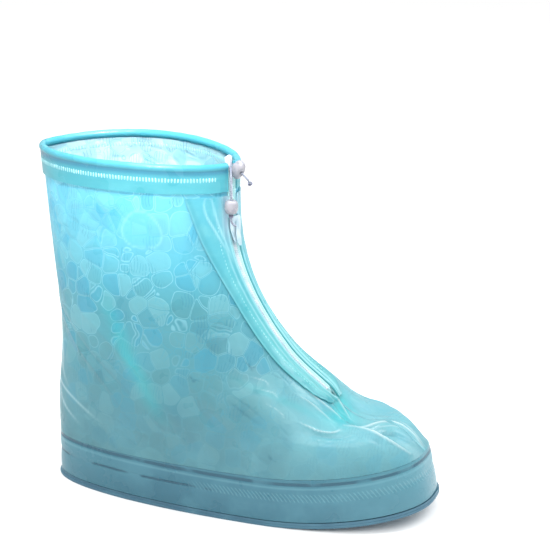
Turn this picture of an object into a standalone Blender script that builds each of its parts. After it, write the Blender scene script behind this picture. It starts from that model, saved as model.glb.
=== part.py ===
"""Reusable rain cover for the right shoe, standing on its own sole.

Metres, +Z up, toe towards +X, outer side of the foot towards -Y. The origin is the point of the flat underside
that lies ORIGIN_SHARE of the sole's length in front of the heel.

Every wall follows one skin: a stack of closed rings from the sole's edge to the rim. A ring is the outline of a
level section, two half ovals that meet where the foot is widest. A place on the skin is a level, counted in rows of
UPPER_ROWS (-1 is the sole's edge, 0 the seam above the side wall), and a reach: the distance along the ring from the
middle of the front, positive towards the inner side of the foot.
"""

import bisect
import functools
import math

import bmesh
import bpy
from mathutils import Vector

MM = 0.001

# Main sizes
LENGTH = 285 * MM  # sole, heel to toe
WIDTH = 108 * MM  # sole, where it is widest
HEIGHT = 250 * MM  # floor to rim, at the back seam and beside the zip
WALL_TOP = 35 * MM  # floor to the seam above the side wall
TOE_SPRING = 13 * MM  # rise of the toe's tip off the floor
SPRING_START = 0.6  # share of the length where the sole starts to rise
TOE_LEAN = 18 * MM  # the toe's tip lies this far towards the inner side
ORIGIN_SHARE = 0.42
OUTER_RIM_ARCH = 2.5 * MM  # between zip and back seam the rim rises this much more
INNER_RIM_ARCH = 5 * MM
RIM_ARCH_LEVEL = 4.8  # where that rise starts

# Walls and clearances
CLEARANCE = 0.3 * MM  # between pieces that touch
SHEET = 1.2 * MM  # vinyl sheet of the upper
SIDE_WALL = 2.5 * MM
SOLE_PLATE = 4 * MM
FLANGE = 2 * MM  # how far the sole plate's foot stands out
FLANGE_HEIGHT = 2 * MM

# Zip
SLOT = 9 * MM  # between the panels' front edges
SLOT_END_LEVEL = 2.45  # where the slot closes, above the toe
SLOT_OPEN_LEVEL = 2.95  # where it has its full width
ZIP_DRIFT = 6 * MM  # at the rim the zip's middle lies this far to the outer side
DRIFT_START_LEVEL = 4.6
DRIFT_END_LEVEL = 6.1
PLACKET = 16 * MM
PLACKET_SHEET = 1.2 * MM
PLACKET_GAP = 0.5 * MM  # off the panel, whose faces it doesn't share
PLACKET_END_SHARE = 0.45  # of its width, where the slot closes
PLACKET_FLARE = 18 * MM  # it is this much wider at the hem
FLARE_START_LEVEL = 5.0
TAPE = 0.8 * MM
TAPE_SHARE = 0.4  # of the placket's narrow width, that the tape reaches behind the panel
TAPE_END_RISE = 5 * MM  # the tape's upper end stands this far above the rim
COIL_WIDTH = 3.4 * MM
COIL_ROOT = 0.4 * MM  # above the panels' outer face, between two ribs
COIL_CREST = 1.0 * MM
COIL_PITCH = 4.4 * MM
SLIDER_LENGTH = 20 * MM
SLIDER_WIDTH = 12 * MM
SLIDER_THICK = 3 * MM
SLIDER_DROP = 51 * MM  # rim to the slider's middle

# Hem and cord
HEM_STRIP = 15 * MM
HEM_SHEET = 1.2 * MM
TUNNEL_RADIUS = 2.7 * MM
CORD = 1.5 * MM
CORD_FIT = 0.4 * MM  # between the cord and what it runs through

# Mesh density
RING_SAMPLES = 160
PANEL_LEVELS = 21
PLACKET_COLUMNS = 3
SIDE_COLUMNS = 22  # of a panel, behind the placket
FRONT_CROWDING = 1.2  # above 1, the columns lie closer at the toe
TUNNEL_SIDES = 10
CORD_SPACING = 4 * MM
STEP = 0.02  # for slopes, in levels
REACH_STEP = 0.5 * MM  # for slopes, along a ring

# The skin's rows above the side wall. back_z and front_z are shares of the height above WALL_TOP, back_x and
# front_x of LENGTH, half of half the WIDTH; widest is the share of the row's own length, nose and heel the
# roundness of its two ends (1 oval, less is squarer, more is pointed), and lift the share of the toe's rise.
UPPER_ROWS = (
    # name, back_z, front_z, back_x, front_x, half, widest, nose, heel, lift
    ("wall_top", 0.000, 0.015, 0.000, 0.970, 1.00, 0.64, 0.78, 0.52, 1.0),
    ("toe_side", 0.085, 0.115, -0.006, 0.895, 1.00, 0.63, 0.62, 0.62, 0.9),
    ("toe_top", 0.170, 0.158, -0.007, 0.797, 0.99, 0.60, 0.48, 0.72, 0.6),
    ("vamp", 0.265, 0.260, -0.004, 0.702, 0.92, 0.56, 0.54, 0.84, 0.3),
    ("instep", 0.368, 0.368, -0.005, 0.611, 0.84, 0.53, 0.73, 0.95, 0.0),
    ("bend", 0.515, 0.540, -0.015, 0.524, 0.815, 0.51, 0.86, 1.03, 0.0),
    ("shin", 0.730, 0.744, -0.031, 0.479, 0.79, 0.51, 0.96, 1.12, 0.0),
    ("rim", 1.000, 0.993, -0.052, 0.473, 0.80, 0.51, 1.06, 1.32, 0.0),
)
SOLE_ROW = ("sole", 0.000, 0.000, 0.000, 1.000, 1.00, 0.62, 0.76, 0.52, 1.0)

# Folds that run over the toe from the end of the zip. from_reach, to_reach, width and height are shares of WIDTH,
# and a negative reach lies on the outer side; height is outward, so a valley has a negative one.
FOLDS = (
    # name, from_level, to_level, from_reach, to_reach, width, height
    ("outer_valley", 2.9, 0.3, -0.03, -0.17, 0.060, -0.034),
    ("outer_ridge", 2.7, 0.4, -0.16, -0.36, 0.080, 0.018),
    ("inner_valley", 2.9, 0.4, 0.05, 0.24, 0.070, -0.024),
    ("ankle_dent", 6.0, 3.4, -0.95, -1.05, 0.200, -0.016),
    ("heel_tuck", 6.4, 2.2, -1.62, -1.90, 0.090, -0.012),
)

# Routes of the cord's free ends, from the mouth of the hem's tunnel: forward, towards the inner side, up
NEAR_CORD_ROUTE = (
    (0.0, 0.0, 0.0),
    (1.2, 0.9, 0.0),
    (2.9, 0.6, -0.9),
    (4.2, -1.0, -3.0),
    (5.2, -3.0, -6.0),
    (5.9, -4.7, -9.5),
    (6.4, -5.8, -14.0),
    (6.6, -6.2, -20.0),
    (6.6, -6.2, -28.0),
    (6.6, -6.2, -35.5),
    (7.4, -5.9, -38.2),
    (10.0, -5.0, -40.4),
)
FAR_CORD_ROUTE = (
    (0.0, 0.0, 0.0),
    (0.6, -2.0, 0.6),
    (1.7, -3.9, 0.9),
    (3.5, -5.1, -0.1),
    (6.3, -6.3, -1.8),
    (9.2, -7.5, -3.6),
    (12.4, -8.8, -5.6),
    (13.7, -9.0, -6.6),
    (14.6, -8.5, -8.0),
    (15.0, -7.4, -9.2),
    (14.6, -6.0, -10.0),
    (13.4, -3.0, -11.3),
    (12.1, 0.0, -12.5),
    (11.5, 1.4, -13.1),
)
# What is threaded on the cord's ends. The three half sizes are along the cord, across it, and square to both.
BEADS = (
    # name, cord's end, half along, half across, half the third way, distance along the cord
    ("bead_lower", "near", 4.8, 4.6, 4.7, 31.2),
    ("bead_upper", "far", 3.8, 4.1, 7.2, 9.8),
    ("knot_lower", "near", 1.5, 1.9, 1.9, 37.9),
    ("knot_upper", "far", 1.5, 1.9, 1.9, 29.6),
)
# Outline of a bead, from mouth to mouth: share of its half size along the cord, share of the other half sizes
BEAD_OUTLINE = ((-1.00, 0.62), (-0.72, 0.82), (-0.28, 1.00), (0.28, 1.00), (0.72, 0.82), (1.00, 0.62))
BEAD_SIDES = 12

# Outline of the zip slider: share of its length from the lower end, share of its width, share of its thickness
SLIDER_OUTLINE = ((0.00, 0.46, 0.50), (0.12, 0.60, 0.85), (0.60, 1.00, 1.00), (0.90, 0.94, 1.00), (1.00, 0.70, 0.60))

# Colours, roughness
AQUA = ((0.22, 0.64, 0.75, 1.0), 0.30)
TEAL = ((0.17, 0.56, 0.63, 1.0), 0.32)
STEEL_TEAL = ((0.09, 0.26, 0.33, 1.0), 0.40)
SOLE_TEAL = ((0.06, 0.17, 0.22, 1.0), 0.50)
TAPE_AQUA = ((0.46, 0.68, 0.76, 1.0), 0.75)
COIL_WHITE = ((0.52, 0.74, 0.80, 1.0), 0.42)
CORD_GREY = ((0.34, 0.42, 0.50, 1.0), 0.80)
BEAD_GREY = ((0.58, 0.62, 0.66, 1.0), 0.35)


def clear_scene():
    for old in list(bpy.data.objects):
        bpy.data.objects.remove(old, do_unlink=True)


def material(name, look):
    color, roughness = look
    made = bpy.data.materials.new(name)
    made.use_nodes = True
    shader = made.node_tree.nodes["Principled BSDF"]
    shader.inputs["Base Color"].default_value = color
    shader.inputs["Roughness"].default_value = roughness
    shader.inputs["Metallic"].default_value = 0.0
    return made


def add_mesh(name, points, faces, look):
    """One closed solid, its faces turned outward."""
    mesh = bpy.data.meshes.new(name)
    mesh.from_pydata([tuple(point) for point in points], [], faces)
    shaped = bmesh.new()
    shaped.from_mesh(mesh)
    bmesh.ops.recalc_face_normals(shaped, faces=shaped.faces)
    if shaped.calc_volume(signed=True) < 0:
        bmesh.ops.reverse_faces(shaped, faces=shaped.faces)
    shaped.to_mesh(mesh)
    shaped.free()
    mesh.shade_smooth()
    mesh.set_sharp_from_angle(angle=math.radians(40))
    made = bpy.data.objects.new(name, mesh)
    made.data.materials.append(material(name + "_look", look))
    bpy.context.scene.collection.objects.link(made)
    return made


# The skin


def smooth_value(before, start, end, after, share):
    """A Catmull-Rom curve from start to end."""
    leaving = (end - before) / 2
    arriving = (after - start) / 2
    square = share * share
    cube = square * share
    return (
        (2 * cube - 3 * square + 1) * start
        + (cube - 2 * square + share) * leaving
        + (3 * square - 2 * cube) * end
        + (cube - square) * arriving
    )


def smooth_step(value, start, end):
    """0 up to start, 1 from end on."""
    share = min(max((value - start) / (end - start), 0.0), 1.0)
    return share * share * (3 - 2 * share)


def sized_row(row, base, rise):
    """The row's columns as real sizes: base is the height of its zero, rise the height that its shares are of."""
    name, back_z, front_z, back_x, front_x, half, widest, nose, heel, lift = row
    return (
        base + back_z * rise,
        base + front_z * rise,
        back_x * LENGTH,
        front_x * LENGTH,
        half * WIDTH / 2,
        widest,
        nose,
        heel,
        lift,
    )


@functools.lru_cache(maxsize=None)
def section(level):
    """The columns of the section at this level."""
    rise = HEIGHT - WALL_TOP
    if level < 0:
        foot = sized_row(SOLE_ROW, 0.0, rise)
        top = sized_row(UPPER_ROWS[0], WALL_TOP, rise)
        return tuple(low + (high - low) * (level + 1) for low, high in zip(foot, top))
    rows = [sized_row(row, WALL_TOP, rise) for row in UPPER_ROWS]
    index = min(int(level), len(rows) - 2)
    share = level - index
    start, end = rows[index], rows[index + 1]
    before = rows[index - 1] if index > 0 else [2 * a - b for a, b in zip(start, end)]
    after = rows[index + 2] if index + 2 < len(rows) else [2 * b - a for a, b in zip(start, end)]
    return tuple(smooth_value(*columns, share) for columns in zip(before, start, end, after))


def ring_point(level, angle):
    """The point of a ring at this angle from the middle of the front."""
    back_z, front_z, back_x, front_x, half, widest, nose, heel, lift = section(level)
    widest_x = back_x + widest * (front_x - back_x)
    cosine, sine = math.cos(angle), math.sin(angle)
    reach, power = (front_x - widest_x, nose) if cosine >= 0 else (widest_x - back_x, heel)
    x = widest_x + reach * cosine
    along = x / LENGTH
    y = half * math.copysign(abs(sine) ** power, sine) + TOE_LEAN * max(0.0, along) ** 2
    z = back_z + (front_z - back_z) * (x - back_x) / (front_x - back_x)
    z += TOE_SPRING * lift * max(0.0, (along - SPRING_START) / (1 - SPRING_START)) ** 2
    arch = INNER_RIM_ARCH if sine > 0 else OUTER_RIM_ARCH
    z += arch * sine * sine * smooth_step(level, RIM_ARCH_LEVEL, len(UPPER_ROWS) - 1)
    return Vector((x - ORIGIN_SHARE * LENGTH, y, z))


@functools.lru_cache(maxsize=None)
def half_ring(level, side):
    """Half a ring, from the middle of the front to the back: its points, and how far along it each lies."""
    points = [ring_point(level, side * math.pi * k / RING_SAMPLES) for k in range(RING_SAMPLES + 1)]
    reaches = [0.0]
    for start, end in zip(points, points[1:]):
        reaches.append(reaches[-1] + (end - start).length)
    return points, reaches


def half_length(level, side):
    return half_ring(level, side)[1][-1]


def plain_point(level, reach):
    """The point of the skin without its folds."""
    side = -1 if reach < 0 else 1
    points, reaches = half_ring(level, side)
    reach = abs(reach)
    if reach > reaches[-1]:
        past = reach - reaches[-1]
        return plain_point(level, -side * (half_length(level, -side) - past))
    index = min(bisect.bisect_right(reaches, reach), len(reaches) - 1)
    share = (reach - reaches[index - 1]) / (reaches[index] - reaches[index - 1])
    return points[index - 1].lerp(points[index], share)


def slopes(place, level, reach):
    """The directions of the ring and of the next levels, for a function that gives a point of the skin."""
    along = place(level, reach + REACH_STEP) - place(level, reach - REACH_STEP)
    upward = place(level + STEP, reach) - place(level - STEP, reach)
    return along.normalized(), upward.normalized()


def fold_height(level, reach):
    """How far the folds push the skin outward."""
    total = 0.0
    for name, from_level, to_level, from_reach, to_reach, width, height in FOLDS:
        share = (level - from_level) / (to_level - from_level)
        if not 0 < share < 1:
            continue
        middle = (from_reach + (to_reach - from_reach) * share) * WIDTH
        across = (reach - middle) / (width * WIDTH)
        total += height * WIDTH * math.sin(math.pi * share) ** 2 * math.exp(-across * across)
    return total


def skin_point(level, reach):
    point = plain_point(level, reach)
    height = fold_height(level, reach)
    if height:
        along, upward = slopes(plain_point, level, reach)
        point = point + along.cross(upward).normalized() * height
    return point


def skin_frame(level, reach):
    """(point, along the ring, up the skin, outward) at a place on the skin."""
    along, upward = slopes(skin_point, level, reach)
    outward = along.cross(upward).normalized()
    return skin_point(level, reach), along, outward.cross(along), outward


def level_at(height):
    """The level whose middle lies at this height."""
    low, high = 0.0, len(UPPER_ROWS) - 1.0
    for _ in range(30):
        middle = (low + high) / 2
        back_z, front_z = section(middle)[:2]
        if (back_z + front_z) / 2 < height:
            low = middle
        else:
            high = middle
    return low


TUNNEL_LEVEL = level_at(HEIGHT - TUNNEL_RADIUS)
PANEL_TOP_LEVEL = level_at(HEIGHT - 2 * TUNNEL_RADIUS - CLEARANCE)
HEM_LEVEL = level_at(HEIGHT - 2 * TUNNEL_RADIUS - HEM_STRIP)


def panel_levels():
    even = [HEM_LEVEL * k / PANEL_LEVELS for k in range(PANEL_LEVELS + 1)]
    return even + [PANEL_TOP_LEVEL]


def opening_share(level):
    """0 where the zip's slot is closed, 1 where it is fully open."""
    return smooth_step(level, SLOT_END_LEVEL, SLOT_OPEN_LEVEL)


def zip_middle(level):
    """The reach of the zip's middle."""
    return -ZIP_DRIFT * smooth_step(level, DRIFT_START_LEVEL, DRIFT_END_LEVEL)


def front_edge(level):
    """Distance from the zip's middle to a panel's edge."""
    return (CLEARANCE + (SLOT - CLEARANCE) * opening_share(level)) / 2


def placket_edges(level):
    """Distances from the panel's front edge to the placket's four columns: its front edge, the edge of the tape
    behind the panel, its middle and its back edge."""
    narrow = PLACKET * (PLACKET_END_SHARE + (1 - PLACKET_END_SHARE) * opening_share(level))
    flare = min(max((level - FLARE_START_LEVEL) / (HEM_LEVEL - FLARE_START_LEVEL), 0.0), 1.0)
    width = narrow + PLACKET_FLARE * flare * flare
    tape = TAPE_SHARE * narrow
    return 0.0, tape, (tape + width) / 2, width


def column_reach(level, column, side):
    """The first columns are the placket's, and the rest lead to the back seam."""
    edges = placket_edges(level)
    if column <= PLACKET_COLUMNS:
        return zip_middle(level) + side * (front_edge(level) + edges[column])
    start = zip_middle(level) + side * (front_edge(level) + edges[-1])
    end = side * (half_length(level, side) - CLEARANCE / 2)
    share = ((column - PLACKET_COLUMNS) / SIDE_COLUMNS) ** FRONT_CROWDING
    return start + (end - start) * share


def loop_reaches(level):
    """Reaches round a closed ring, from the back by the outer side and the front to the back again."""
    shares = [(1 - math.cos(math.pi * k / SIDE_COLUMNS)) / 2 for k in range(1, SIDE_COLUMNS)]
    outer = [-share * half_length(level, -1) for share in reversed(shares)]
    inner = [share * half_length(level, 1) for share in shares]
    return [-half_length(level, -1)] + outer + [0.0] + inner


# Solids made from the skin


def sheet_solid(name, places, outer, inner, look, closed=False):
    """A wall between two distances from the skin. places holds rows of (level, reach), from low to high and with
    the reach growing, and closed joins each row's end to its start."""
    frames = [[skin_frame(*place) for place in row] for row in places]
    rows, columns = len(frames), len(frames[0])
    points = [point + outward * outer for row in frames for point, _, _, outward in row]
    points += [point + outward * inner for row in frames for point, _, _, outward in row]
    layer = rows * columns
    faces = []
    for i in range(rows - 1):
        for j in range(columns if closed else columns - 1):
            k = (j + 1) % columns
            quad = (i * columns + j, i * columns + k, (i + 1) * columns + k, (i + 1) * columns + j)
            faces.append(quad)
            faces.append(tuple(layer + corner for corner in reversed(quad)))
    edge = [(0, j) for j in range(columns)]
    if closed:
        rims = [edge + edge[:1], [(rows - 1, j) for j in range(columns)] + [(rows - 1, 0)]]
    else:
        edge += [(i, columns - 1) for i in range(1, rows)]
        edge += [(rows - 1, j) for j in range(columns - 2, -1, -1)]
        edge += [(i, 0) for i in range(rows - 2, -1, -1)]
        rims = [edge]
    for rim in rims:
        for start, end in zip(rim, rim[1:]):
            a = start[0] * columns + start[1]
            b = end[0] * columns + end[1]
            faces.append((a, b, layer + b, layer + a))
    return add_mesh(name, points, faces, look)


def loft(name, sections, look, holes=None):
    """A solid through closed sections of equal length. holes, one loop for each section, leaves a bore."""
    loops = [sections] + ([holes] if holes else [])
    points = [point for group in loops for loop in group for point in loop]
    size = len(sections[0])
    inner_start = len(sections) * size
    faces = []
    for group in range(len(loops)):
        start = group * inner_start
        for i in range(len(sections) - 1):
            for j in range(size):
                k = (j + 1) % size
                low = start + i * size
                high = low + size
                faces.append((low + j, low + k, high + k, high + j))
    for first in (0, (len(sections) - 1) * size):
        if holes:
            for j in range(size):
                k = (j + 1) % size
                faces.append((first + j, first + k, inner_start + first + k, inner_start + first + j))
        else:
            faces.append(tuple(range(first, first + size)))
    return add_mesh(name, points, faces, look)


def make_outsole():
    """A plate with a flange round its foot; its underside is flat up to SPRING_START."""
    outline = [skin_frame(-1.0, reach) for reach in loop_reaches(-1.0)]
    middle_x = (0.5 - ORIGIN_SHARE) * LENGTH
    profile = (
        # outward from the skin, share of the way to the middle, height
        (FLANGE, 0.72, 0.0),
        (FLANGE, 0.38, 0.0),
        (FLANGE, 0.0, 0.0),
        (FLANGE, 0.0, FLANGE_HEIGHT),
        (0.0, 0.0, FLANGE_HEIGHT + CLEARANCE),
        (0.0, 0.0, SOLE_PLATE),
        (0.0, 0.38, SOLE_PLATE),
        (0.0, 0.72, SOLE_PLATE),
    )
    loops = []
    for out, inward, height in profile:
        loop = []
        for point, _, _, outward in outline:
            level_outward = Vector((outward.x, outward.y, 0.0)).normalized()
            spot = point + level_outward * out
            spot = spot.lerp(Vector((middle_x, 0.0, 0.0)), inward)
            along = (spot.x + ORIGIN_SHARE * LENGTH) / LENGTH
            rise = TOE_SPRING * max(0.0, (along - SPRING_START) / (1 - SPRING_START)) ** 2
            loop.append(Vector((spot.x, spot.y, height + rise)))
        loops.append(loop)
    size = len(outline)
    points = [point for loop in loops for point in loop]
    faces = []
    for i in range(len(loops) - 1):
        for j in range(size):
            k = (j + 1) % size
            faces.append((i * size + j, i * size + k, (i + 1) * size + k, (i + 1) * size + j))
    for first, height in ((0, 0.0), ((len(loops) - 1) * size, SOLE_PLATE)):
        hub = len(points)
        points.append(Vector((middle_x, 0.0, height)))
        for j in range(size):
            faces.append((first + j, first + (j + 1) % size, hub))
    return add_mesh("outsole", points, faces, SOLE_TEAL)


def make_sidewall_band():
    low = -1 + (SOLE_PLATE + CLEARANCE) / WALL_TOP
    high = -CLEARANCE / WALL_TOP
    levels = [low + (high - low) * k / 3 for k in range(4)]
    places = [[(level, reach) for reach in loop_reaches(level)] for level in levels]
    return sheet_solid("sidewall_band", places, 0.0, -SIDE_WALL, STEEL_TEAL, closed=True)


def make_upper(name, side):
    columns = list(range(PLACKET_COLUMNS + SIDE_COLUMNS + 1))
    if side < 0:
        columns.reverse()
    places = [[(level, column_reach(level, column, side)) for column in columns] for level in panel_levels()]
    return sheet_solid(name, places, 0.0, -SHEET, AQUA)


def zip_levels():
    """Levels of the panels beside the slot, from its closed end to the panels' top."""
    first = SLOT_END_LEVEL + 0.12
    return [first] + [level for level in panel_levels() if level > first + 0.1]


def make_placket(name, side):
    columns = list(range(PLACKET_COLUMNS + 1))
    if side < 0:
        columns.reverse()
    levels = [level for level in zip_levels() if level < HEM_LEVEL]
    levels.append(HEM_LEVEL - 3 * CLEARANCE / HEM_STRIP)
    places = [[(level, column_reach(level, column, side)) for column in columns] for level in levels]
    return sheet_solid(name, places, PLACKET_GAP + PLACKET_SHEET, PLACKET_GAP, TEAL)


def make_zip_tape():
    places = []
    for level in zip_levels():
        row = [(level, column_reach(level, 1, -1)), (level, column_reach(level, 0, -1)), (level, zip_middle(level))]
        row += [(level, column_reach(level, 0, 1)), (level, column_reach(level, 1, 1))]
        places.append(row)
    return sheet_solid("zip_tape", places, -SHEET - CLEARANCE, -SHEET - CLEARANCE - TAPE, TAPE_AQUA)


def make_tape_end():
    """The tape's upper end, standing between the two mouths of the hem's tunnel."""
    low = column_reach(PANEL_TOP_LEVEL, 0, -1) + 2 * CLEARANCE
    high = column_reach(PANEL_TOP_LEVEL, 0, 1) - 2 * CLEARANCE
    frames = [skin_frame(PANEL_TOP_LEVEL, low + (high - low) * k / 4) for k in range(5)]
    rise = 2 * TUNNEL_RADIUS + TAPE_END_RISE
    sections = []
    for share in (0.0, 0.5, 1.0):
        up = CLEARANCE + (rise - CLEARANCE) * share
        loop = [point + upward * up - outward * (SHEET + CLEARANCE) for point, _, upward, outward in frames]
        loop += [
            point + upward * up - outward * (SHEET + CLEARANCE + TAPE)
            for point, _, upward, outward in reversed(frames)
        ]
        sections.append(loop)
    return loft("tape_end", sections, TAPE_AQUA)


def front_walk(first_level, last_level, spacing):
    """Levels up the middle of the front, about spacing apart."""
    levels = [first_level + (last_level - first_level) * k / 400 for k in range(401)]
    reached = 0.0
    distances = [0.0]
    for low, high in zip(levels, levels[1:]):
        reached += (plain_point(high, 0.0) - plain_point(low, 0.0)).length
        distances.append(reached)
    count = max(2, round(reached / spacing))
    chosen = [bisect.bisect_left(distances, reached * k / count) for k in range(count + 1)]
    return [levels[min(index, 400)] for index in chosen]


def make_zip_coil():
    """Ribs side by side, one body: each rib is a crest between two roots."""
    sections = []
    for index, level in enumerate(front_walk(SLOT_OPEN_LEVEL, PANEL_TOP_LEVEL, COIL_PITCH / 2)):
        point, along, _, outward = skin_frame(level, zip_middle(level))
        top = COIL_CREST if index % 2 else COIL_ROOT
        half = COIL_WIDTH / 2 * (1.0 if index % 2 else 0.86)
        low = -SHEET
        corners = ((-half, low), (half, low), (0.7 * half, top), (-0.7 * half, top))
        sections.append([point + along * across + outward * out for across, out in corners])
    return loft("zip_coil", sections, COIL_WHITE)


def make_zip_slider():
    """A body that tapers downward, with a keel that reaches the coil between the plackets."""
    middle_level = level_at(HEIGHT - SLIDER_DROP)
    middle, _, upward, _ = skin_frame(middle_level, zip_middle(middle_level))
    keel_low = COIL_CREST + CLEARANCE
    body_low = PLACKET_GAP + PLACKET_SHEET + CLEARANCE
    sections = []
    for share, width_share, thick_share in SLIDER_OUTLINE:
        level = level_at((middle + upward * SLIDER_LENGTH * (share - 0.5)).z)
        point, along, _, outward = skin_frame(level, zip_middle(level))
        half = SLIDER_WIDTH / 2 * width_share
        keel = min(COIL_WIDTH / 2, half * 0.8)
        top = body_low + SLIDER_THICK * thick_share
        corners = (
            (-keel, keel_low),
            (keel, keel_low),
            (keel, body_low),
            (half, body_low),
            (half, top - 0.35 * SLIDER_THICK),
            (half * 0.55, top),
            (-half * 0.55, top),
            (-half, top - 0.35 * SLIDER_THICK),
            (-half, body_low),
            (-keel, body_low),
        )
        sections.append([point + along * across + outward * out for across, out in corners])
    return loft("zip_slider", sections, COIL_WHITE)


def tunnel_stations():
    """Columns of the hem, from its outer end by the back seam to its inner end."""
    last = PLACKET_COLUMNS + SIDE_COLUMNS
    outer = [(column, -1) for column in range(last)]
    inner = [(column, 1) for column in range(last - 1, -1, -1)]
    return outer + [(None, -1)] + inner


def station_reach(level, station):
    column, side = station
    if column is None:
        return side * half_length(level, side)
    return column_reach(level, column, side)


def tunnel_frame(station):
    """(middle, up, outward) of the cord's tunnel at a station."""
    point, _, upward, outward = skin_frame(TUNNEL_LEVEL, station_reach(TUNNEL_LEVEL, station))
    return point - outward * SHEET / 2, upward, outward


def make_top_hem():
    """A tube round the rim, whose outer wall runs on as a strip below it, outside the panels."""
    strip_inner = SHEET / 2 + CLEARANCE
    strip_outer = strip_inner + HEM_SHEET
    first = -math.acos(strip_outer / TUNNEL_RADIUS)
    last = 2 * math.pi - math.acos(strip_inner / TUNNEL_RADIUS)
    angles = [first + (last - first) * k / (TUNNEL_SIDES - 1) for k in range(TUNNEL_SIDES)]
    bore_radius = CORD / 2 + CORD_FIT
    left = first + 2 * math.pi - last
    turn = angles + [last + left / 3, last + 2 * left / 3]
    sections, bores = [], []
    for station in tunnel_stations():
        middle, upward, outward = tunnel_frame(station)
        foot, _, _, foot_outward = skin_frame(HEM_LEVEL, station_reach(HEM_LEVEL, station))
        loop = [middle + (outward * math.cos(a) + upward * math.sin(a)) * TUNNEL_RADIUS for a in angles]
        loop.append(foot + foot_outward * CLEARANCE)
        loop.append(foot + foot_outward * (CLEARANCE + HEM_SHEET))
        sections.append(loop)
        bores.append([middle + (outward * math.cos(a) + upward * math.sin(a)) * bore_radius for a in turn])
    return loft("top_hem", sections, TEAL, holes=bores)


def add_cord(name, points, look):
    curve = bpy.data.curves.new(name, "CURVE")
    curve.dimensions = "3D"
    curve.bevel_depth = CORD / 2
    curve.bevel_resolution = 2
    curve.use_fill_caps = True
    spline = curve.splines.new("POLY")
    spline.points.add(len(points) - 1)
    for spot, point in zip(spline.points, points):
        spot.co = (*point, 1.0)
    made = bpy.data.objects.new(name, curve)
    made.data.materials.append(material(name + "_look", look))
    bpy.context.scene.collection.objects.link(made)
    return made


def make_drawcord():
    """The cord inside the tunnel, from mouth to mouth."""
    middles = [tunnel_frame(station)[0] for station in tunnel_stations()]
    return add_cord("drawcord", middles, CORD_GREY)


def smooth_route(knots, spacing):
    """Points about spacing apart on the smooth curve through the knots."""
    ends = [2 * knots[0] - knots[1], 2 * knots[-1] - knots[-2]]
    padded = [ends[0], *knots, ends[1]]
    fine = []
    for before, start, end, after in zip(padded, padded[1:], padded[2:], padded[3:]):
        fine += [smooth_value(before, start, end, after, k / 20) for k in range(20)]
    fine.append(knots[-1])
    reaches = [0.0]
    for start, end in zip(fine, fine[1:]):
        reaches.append(reaches[-1] + (end - start).length)
    count = math.ceil(reaches[-1] / spacing)
    chosen = [bisect.bisect_left(reaches, reaches[-1] * k / count) for k in range(count + 1)]
    return [fine[min(index, len(fine) - 1)] for index in chosen]


def cord_end_knots(end):
    """The points of a free end's route, from its mouth of the tunnel."""
    side, route = {"near": (-1, NEAR_CORD_ROUTE), "far": (1, FAR_CORD_ROUTE)}[end]
    mouth = tunnel_frame((0, side))[0]
    return [mouth + Vector(offset) * MM for offset in route]


def make_cord_end(end):
    """A free end, a clearance off the cord inside."""
    knots = cord_end_knots(end)
    away = (knots[1] - knots[0]).normalized() * 2 * CLEARANCE
    knots[0] = knots[0] + away
    return add_cord("cord_end_" + end, smooth_route(knots, CORD_SPACING), CORD_GREY)


def make_bead(name, end, half_along, half_across, half_third, distance, look):
    """An outline turned about the cord, with the cord's bore."""
    line = smooth_route(cord_end_knots(end), CORD_SPACING / 8)
    reached, index = 0.0, 0
    while reached < distance * MM:
        index += 1
        reached += (line[index] - line[index - 1]).length
    middle = line[index]
    along = (line[index + 1] - line[index - 1]).normalized()
    sideways = along.cross(Vector((0, 0, 1)))
    across = sideways.normalized() if sideways.length > 0.3 else Vector((0, 1, 0))
    third = across.cross(along).normalized()
    across = along.cross(third)
    bore = (CORD / 2 + CORD_FIT) / MM
    rings = [(share * half_along, width * half_across, width * half_third) for share, width in BEAD_OUTLINE]
    rings += [(half_along, bore, bore), (-half_along, bore, bore)]
    points, faces = [], []
    for i, (forward, width, depth) in enumerate(rings):
        high = (i + 1) % len(rings) * BEAD_SIDES
        for k in range(BEAD_SIDES):
            n = (k + 1) % BEAD_SIDES
            angle = 2 * math.pi * k / BEAD_SIDES
            spot = along * forward + across * math.cos(angle) * width + third * math.sin(angle) * depth
            points.append(middle + spot * MM)
            faces.append((i * BEAD_SIDES + k, i * BEAD_SIDES + n, high + n, high + k))
    return add_mesh(name, points, faces, look)


def build():
    clear_scene()
    make_outsole()
    make_sidewall_band()
    make_upper("upper_outer", -1)
    make_upper("upper_inner", 1)
    make_top_hem()
    make_placket("placket_outer", -1)
    make_placket("placket_inner", 1)
    make_zip_tape()
    make_tape_end()
    make_zip_coil()
    make_zip_slider()
    make_drawcord()
    make_cord_end("near")
    make_cord_end("far")
    for bead in BEADS:
        make_bead(*bead, CORD_GREY if bead[0].startswith("knot") else BEAD_GREY)


build()
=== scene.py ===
import functools
import math

import bpy
import numpy as np
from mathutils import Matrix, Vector


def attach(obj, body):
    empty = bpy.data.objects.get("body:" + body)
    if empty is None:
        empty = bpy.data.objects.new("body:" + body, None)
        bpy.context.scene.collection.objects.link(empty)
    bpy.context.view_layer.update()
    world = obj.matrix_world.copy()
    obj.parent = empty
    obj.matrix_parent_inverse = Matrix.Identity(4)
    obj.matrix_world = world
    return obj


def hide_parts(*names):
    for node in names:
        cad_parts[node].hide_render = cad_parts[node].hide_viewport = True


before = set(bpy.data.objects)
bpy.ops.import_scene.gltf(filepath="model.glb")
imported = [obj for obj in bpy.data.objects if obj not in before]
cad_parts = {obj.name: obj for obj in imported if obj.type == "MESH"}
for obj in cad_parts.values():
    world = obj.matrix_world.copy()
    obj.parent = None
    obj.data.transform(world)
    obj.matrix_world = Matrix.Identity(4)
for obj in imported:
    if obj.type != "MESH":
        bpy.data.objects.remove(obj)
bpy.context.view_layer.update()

MM = 0.001

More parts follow.
